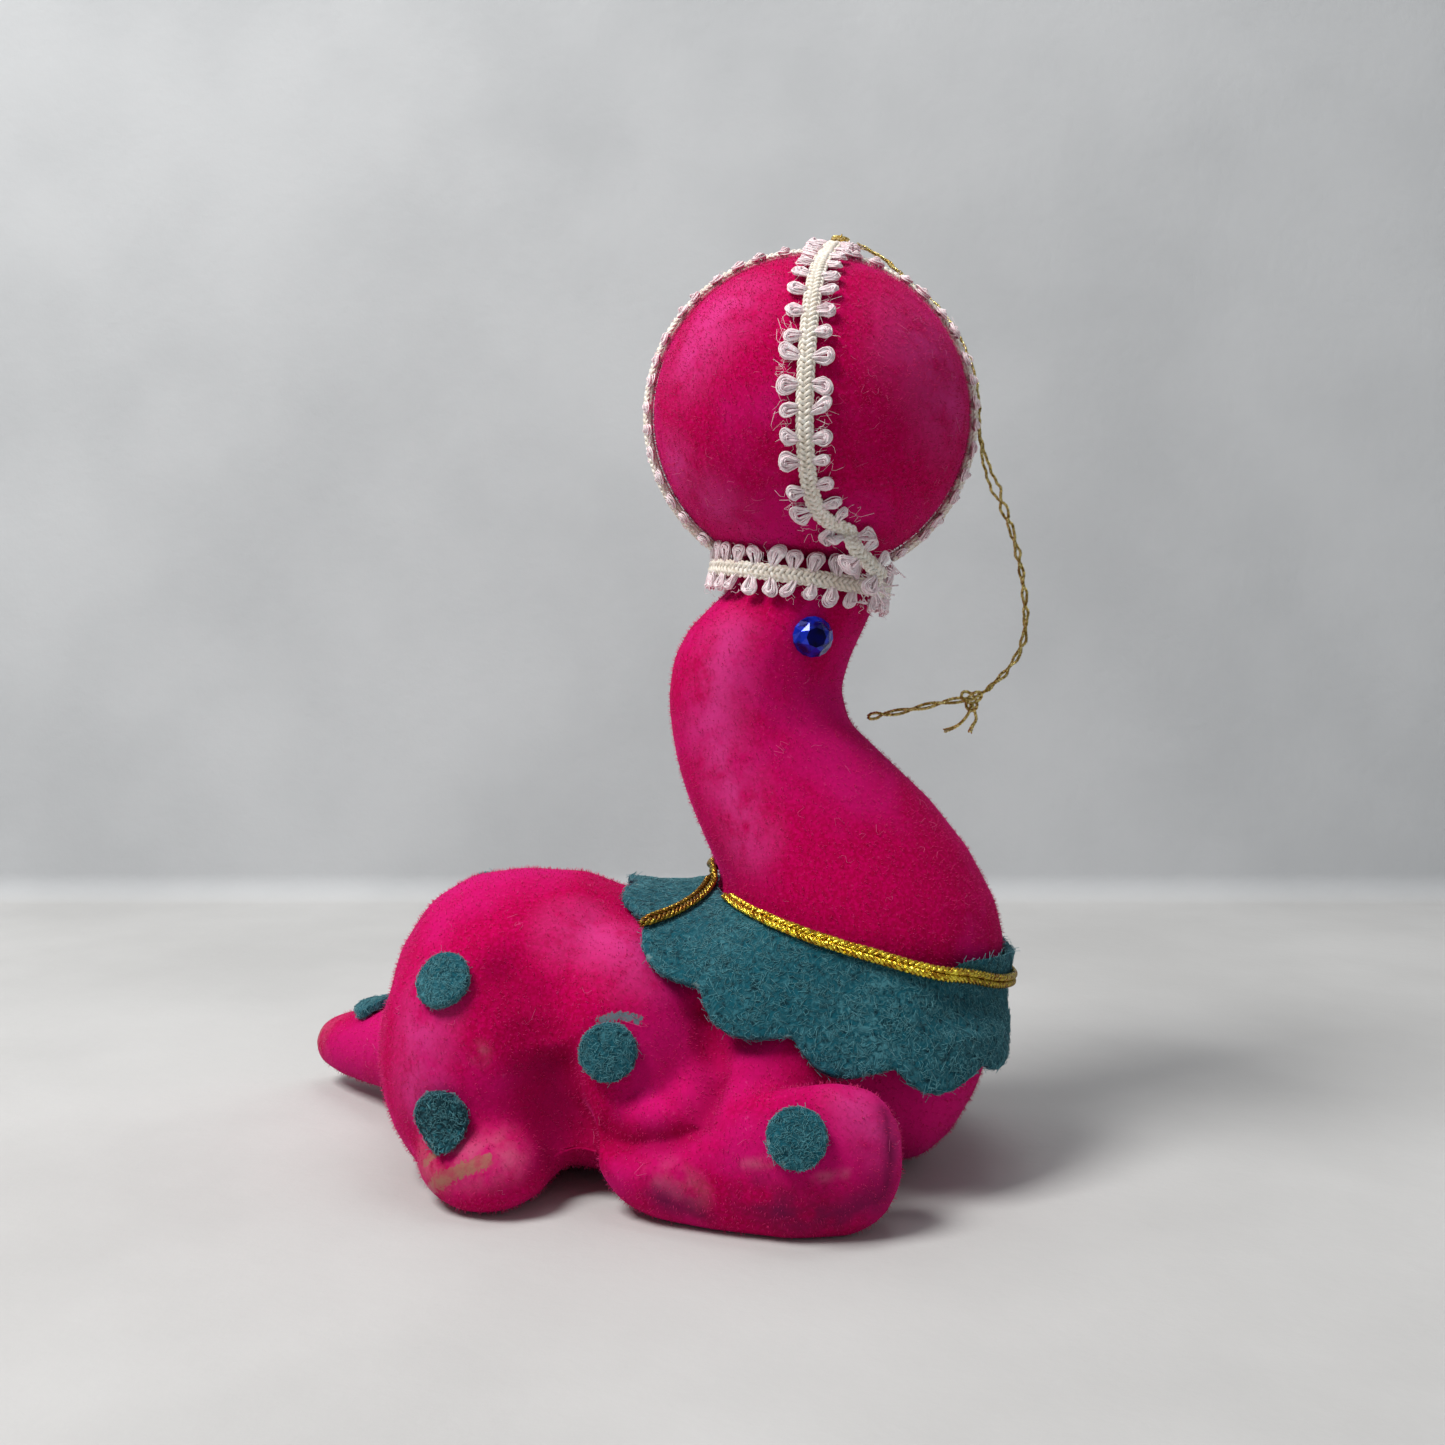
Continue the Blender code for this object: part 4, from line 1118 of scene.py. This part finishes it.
def ball_shell(sign):
    """Points and polygons of one hollow half of the ball: two skins, a rim and two poles."""
    shells = []
    turn = 2 * math.pi * np.arange(BALL_AROUND) / BALL_AROUND
    for radius in (BALL_RADIUS, BALL_RADIUS - BALL_WALL):
        polar = np.linspace(math.pi / 2 - SEAM_HALF / radius, 0.0, BALL_DOWN)
        ring = np.sin(polar)[:, None]
        x, z = ring * np.cos(turn), ring * np.sin(turn)
        y = np.broadcast_to(np.cos(polar)[:, None] * sign, x.shape)
        shells.append(BALL_CENTRE + np.stack([x, y, z], axis=-1)[:-1] * radius)
    outer, inner = (shell.reshape(-1, 3) for shell in shells)
    poles = np.array([[0, sign * BALL_RADIUS, 0], [0, sign * (BALL_RADIUS - BALL_WALL), 0]])
    points = np.vstack([outer, inner, BALL_CENTRE + poles])
    index = np.arange((BALL_DOWN - 1) * BALL_AROUND).reshape(BALL_DOWN - 1, BALL_AROUND)
    here, along = index[:-1], index[1:]
    beside, across = np.roll(here, -1, 1), np.roll(along, -1, 1)
    quads = np.stack([here, along, across, beside], -1).reshape(-1, 4)
    shift = len(outer)
    first, last = index[0], index[-1]
    after_first, after_last = np.roll(first, -1), np.roll(last, -1)
    rim = np.stack([first, after_first, after_first + shift, first + shift], -1)
    tips = np.stack([last, np.full(BALL_AROUND, 2 * shift), after_last], -1)
    tips_in = np.stack([last, after_last, np.full(BALL_AROUND, shift + 1)], -1) + shift
    if sign < 0:
        groups = [quads[:, ::-1], quads + shift, rim[:, ::-1], tips[:, ::-1], tips_in[:, ::-1]]
    else:
        groups = [quads, quads[:, ::-1] + shift, rim, tips, tips_in]
    return points, [np.vstack(groups[:3]), np.vstack(groups[3:])]


def make_ball(flock, fibre, lint, rng):
    """Two hollow halves of the ball, each a smooth shell closed at the seam."""
    for side, sign in (("right", -1), ("left", 1)):
        name, node = f"ball_{side}", f"ball_{side}_half"
        half = mesh_object(name, *ball_shell(sign), flock)
        bm = bmesh.new()
        bm.from_mesh(half.data)
        bmesh.ops.recalc_face_normals(bm, faces=bm.faces)
        bm.to_mesh(half.data)
        bm.free()
        if sign < 0:
            # The ball's right half gets the marks of painted sheen.
            paint(half, "painted_sheen", skin_marks(tree_of(half), BALL_SHEEN_MARKS))
        settle(half, ORNAMENT, node, node)
        count = 14000
        way = unit(rng.normal(size=(count, 3)))
        way[:, 1] = np.abs(way[:, 1]) * sign
        way = way[np.abs(way[:, 1]) > 0.02]
        add_fuzz(name, node, BALL_CENTRE + way * BALL_RADIUS, way, fibre, rng, 0.4 * MM)
        way = way[:LINT_COUNT]
        add_lint(name, node, BALL_CENTRE + way * BALL_RADIUS, way, lint, rng)


# ---------------------------------------------------------------- felt


def make_felt(name, node, felt, wool, rng, voxel, smoothing, hairs, long, skin=None):
    """A piece of felt with eased edges and loose fibres on its face."""
    obj = remeshed(name, (node,), voxel, smoothing, felt)
    if skin:
        lean_on_breast(obj, tree_of(skin))
    place, normal = surface_samples(obj, hairs, rng)
    fuzz = Bundle()
    curled_hairs(fuzz, place, normal, rng, long, 0.028 * MM, 0.13 * MM, steps=5)
    settle(obj, ORNAMENT, node, node)
    settle(fuzz.object(name + "_wool", wool), ORNAMENT, node)
    return obj


BREAST_AXIS = drawn((5.0, 0.0, 0.0))[0]
RISE_FROM, RISE_TO = DRAWN_FORWARD + 9 * MM, DRAWN_FORWARD + 22 * MM
RISE_LOW, RISE_HIGH = 17 * MM, 20.5 * MM
COLLAR_RISE = 3.4 * MM
FELT_PROUD = 1.5 * MM


def eased(value, low, high):
    share = min(1.0, max(0.0, (value - low) / (high - low)))
    return share * share * (3 - 2 * share)


def reach_of(tree, place):
    """How far the skin reaches from the breast's upright axis, towards a place at its height."""
    start = Vector((BREAST_AXIS[0], BREAST_AXIS[1], place.z))
    way = Vector((place.x, place.y, place.z)) - start
    hit = tree.ray_cast(start, way.normalized())[0]
    return (start, way.normalized(), (hit - start).length) if hit else None


def lean_on_breast(obj, skin):
    """Draws the felt's top edge up in front, so that it lies on the breast above the cord."""
    for vert in obj.data.vertices:
        rise = eased(vert.co.x, RISE_FROM, RISE_TO) * eased(vert.co.z, RISE_LOW, RISE_HIGH)
        here = reach_of(skin, vert.co) if rise > 0 else None
        if not here:
            continue
        proud = min((vert.co - here[0]).length - here[2], FELT_PROUD)
        there = reach_of(skin, vert.co + Vector((0, 0, COLLAR_RISE * rise)))
        if there:
            vert.co = vert.co.lerp(there[0] + there[1] * (there[2] + max(proud, 0.1 * MM)), min(1, rise * 2))


# ---------------------------------------------------------------- the collar's cord

CORD_ROW = 0.41 * MM
CORD_LIFT = 0.55 * MM
CORD_TAIL_END = (-19.5, -14, 29)
# Where the cord is painted darker brown: at its tail, and in front as painted shade where the collar turns
# away from the light.
CORD_DARKER = (
    (((-12, -1, 33), (-14, -9, 31), (-17, -12, 30), (-19.5, -14, 29)), 5.0),
    (((17.0, -12.0, 21.5), (21.0, -6.0, 20.0), (22.5, 0.0, 20.0)), 7.0),
)


def centreline(node, start):
    """The middle line of a CAD tube, from the end that is nearest to a point."""
    bm = bmesh.new()
    bm.from_mesh(NODES[node].data)
    bmesh.ops.remove_doubles(bm, verts=bm.verts, dist=2e-6)
    cap = sorted(bm.verts, key=lambda vert: (vert.co - start).length)[:8]
    seen, edge, middles = set(cap), cap, []
    while edge:
        middles.append(sum((vert.co for vert in edge), Vector()) / len(edge))
        near = {link.other_vert(vert) for vert in edge for link in vert.link_edges}
        edge = [vert for vert in near if vert not in seen]
        seen.update(edge)
    bm.free()
    return np.array(middles)


def smoothed(values, passes):
    """An open run of points or ways, eased along its length with its ends kept."""
    values = np.array(values)
    for _ in range(passes):
        values[1:-1] = (values[:-2] + values[1:-1] * 2 + values[2:]) / 4
    return values


def off_nearest(trees, place):
    """The nearest place on these skins, and the way from it to this one."""
    place = Vector(place)
    near = min((tree.find_nearest(place) for tree in trees), key=lambda found: found[3])[0]
    return near, (place - near).normalized()


def make_collar_cord(gold, supports):
    """A flat plait of two rows, wound opposite ways, laid on the felt and the skin."""
    tail_end = Vector(drawn(CORD_TAIL_END)[0])
    middles = centreline("collar_cord", tail_end)
    path = evenly(through(middles, 8), 0.3 * MM)
    trees = [tree_of(obj) for obj in supports]
    laid = []
    for place in path:
        near, away = off_nearest(trees, place)
        laid.append(near + away * CORD_LIFT)
    path = evenly(smoothed(np.array(laid), 14), 0.12 * MM)
    outs = [off_nearest(trees, place)[1] for place in path]
    ahead = unit(np.gradient(path, axis=0))
    out = smoothed(np.array(outs), 60)
    out = unit(out - ahead * (out * ahead).sum(1, keepdims=True))
    side = unit(np.cross(ahead, out))
    bundle = Bundle()
    for row in (-1, 1):
        line = path + side * row * CORD_ROW
        plies, away = twisted(line, side, out * 0.9, 3, 0.24 * MM, 1.9 * MM, hand=row)
        bundle.tubes(plies, away, 0.2 * MM, 6)
    cord = bundle.object("gold_cord", gold)
    paint(cord, "darker_brown", [(drawn(*line), reach) for line, reach in CORD_DARKER])
    settle(cord, ORNAMENT, "collar_cord", "collar_cord")


# ---------------------------------------------------------------- eyes


# The rings of a cut stone from its table down: corners, turn, width and height as shares.
STONE_RINGS = (
    (8, 0.0, 0.48, 1.0),
    (8, 0.5, 0.74, 0.78),
    (16, 0.25, 0.985, 0.36),
    (16, 0.25, 0.985, 0.26),
    (16, 0.25, 0.9, 0.0),
)


def stone_rings(bm, data, sign):
    """The stone's corners, placed on its CAD solid."""
    points = np.array([vert.co for vert in data.vertices])
    middle = (points.min(0) + points.max(0)) / 2
    areas = np.array([face.area for face in data.polygons])
    normals = np.array([face.normal for face in data.polygons])
    facing = normals[:, 1] * sign > 0.5
    normal = unit((normals * areas[:, None] * facing[:, None]).sum(0))
    flat = unit(np.cross(normal, (0, 0, 1.0)))
    up = np.cross(flat, normal)
    heights = (points - middle) @ normal
    radius = np.linalg.norm((points - middle) - np.outer(heights, normal), axis=1).max()
    bottom, top = heights.min(), heights.max()
    rings = []
    for count, twist, wide, level in STONE_RINGS:
        ring = []
        for i in range(count):
            turn = 2 * math.pi * (i + twist) / count
            place = middle + normal * (bottom + (top - bottom) * level)
            place = place + (flat * math.cos(turn) + up * math.sin(turn)) * radius * wide
            ring.append(bm.verts.new(place))
        rings.append(ring)
    return rings


def make_eyes(glass, table):
    """Cut stones: a flat table, two rows of facets and a girdle."""
    for side, sign in (("right", -1), ("left", 1)):
        node = f"eye_{side}"
        bm = bmesh.new()
        rings = stone_rings(bm, NODES[node].data, sign)
        crown = bm.faces.new(rings[0])
        crown.material_index = 1
        bm.faces.new(rings[-1][::-1])
        for i in range(8):
            j = (i + 1) % 8
            one, two, three = rings[2][2 * i], rings[2][2 * i + 1], rings[2][(2 * i + 2) % 16]
            for corners in (
                (rings[0][j], rings[0][i], rings[1][i]),
                (rings[0][j], rings[1][i], rings[1][j]),
                (rings[1][i], one, two),
                (rings[1][i], two, rings[1][j]),
                (rings[1][j], two, three),
            ):
                bm.faces.new(corners)
        for upper, lower in zip(rings[2:-1], rings[3:]):
            for i in range(16):
                j = (i + 1) % 16
                bm.faces.new((upper[i], upper[j], lower[j], lower[i]))
        bmesh.ops.recalc_face_normals(bm, faces=bm.faces)
        mesh = bpy.data.meshes.new("stone_" + side)
        bm.to_mesh(mesh)
        bm.free()
        obj = linked("stone_" + side, mesh)
        mesh.materials.append(glass)
        mesh.materials.append(table)
        settle(obj, ORNAMENT, node, node)


def stone_materials():
    blue = Shader("blue_stone", roughness=0.2, metallic=0.45)
    blue.set("Coat Weight", 0.25)
    blue.set("Coat Roughness", 0.05)
    cloud = blue.patches(0.4, 0.6, 600, 2)
    blue.colour(blue.mix(cloud, (0.0, 0.003, 0.12), (0.0, 0.02, 0.5)))
    dark = Shader("dark_table", base_color=(0.0, 0.0, 0.02), roughness=0.05)
    dark.set("Specular IOR Level", 0.12)
    shade = dark.patches(0.4, 0.7, 500, 2)
    dark.colour(dark.mix(shade, (0.0, 0.0, 0.006), (0.0, 0.0, 0.06)))
    return blue.material, dark.material


# ---------------------------------------------------------------- assembly

FELT_DOTS = [
    f"dot_{place}_{side}"
    for side in ("right", "left")
    for place in ("rump", "haunch", "belly", "flipper")
]
# The dot that was glued with its knitted backing outwards.
KNIT_DOT = "dot_haunch_right"


def main():
    rng = np.random.default_rng(7)
    add_camera()
    add_light()
    add_floor()

    thread_gold = gold_material("thread_gold", (0.45, 0.28, 0.05), (1.0, 0.86, 0.36), 0.22)
    make_thread(thread_gold)
    make_thread_eye(thread_gold)

    flock = flock_material()
    fibre = fibre_material("flock_fibres", (0.52, 0.0, 0.1), (1.0, 0.08, 0.45))
    lint = fibre_material("pale_lint", (0.6, 0.06, 0.22), (1.0, 0.5, 0.7))
    skin = make_body(flock, fibre, lint, rng)
    make_ball(flock, fibre, lint, rng)

    satin = satin_material("ivory_satin", (0.74, 0.66, 0.55), (0.97, 0.93, 0.86))
    floss = satin_material("pink_floss", (0.88, 0.68, 0.73), (1.0, 0.93, 0.94))
    make_ball_braids(floss, satin, rng)
    make_neck_braid(floss, satin, rng)

    felt = felt_material("teal_felt", (0.001, 0.022, 0.034), (0.006, 0.088, 0.122), (0.06, 0.21, 0.25))
    tones = ((0.001, 0.014, 0.022), (0.006, 0.09, 0.12), (0.04, 0.16, 0.2))
    backing = felt_material("teal_backing", *tones, knit=True)
    wool = fibre_material("teal_wool", (0.045, 0.18, 0.21), (0.4, 0.8, 0.9))
    collar = make_felt("collar_felt", "felt_collar", felt, wool, rng, 0.3 * MM, 7, 7200, 1.4 * MM, skin)
    for node in FELT_DOTS:
        cloth = backing if node == KNIT_DOT else felt
        make_felt(node + "_felt", node, cloth, wool, rng, 0.2 * MM, 6, 420, 0.9 * MM)

    cord_gold = gold_material("cord_gold", (0.42, 0.2, 0.01), (1.0, 0.83, 0.08), 0.22)
    make_collar_cord(cord_gold, (skin, collar))
    make_eyes(*stone_materials())
    bpy.data.objects.remove(skin, do_unlink=True)


main()
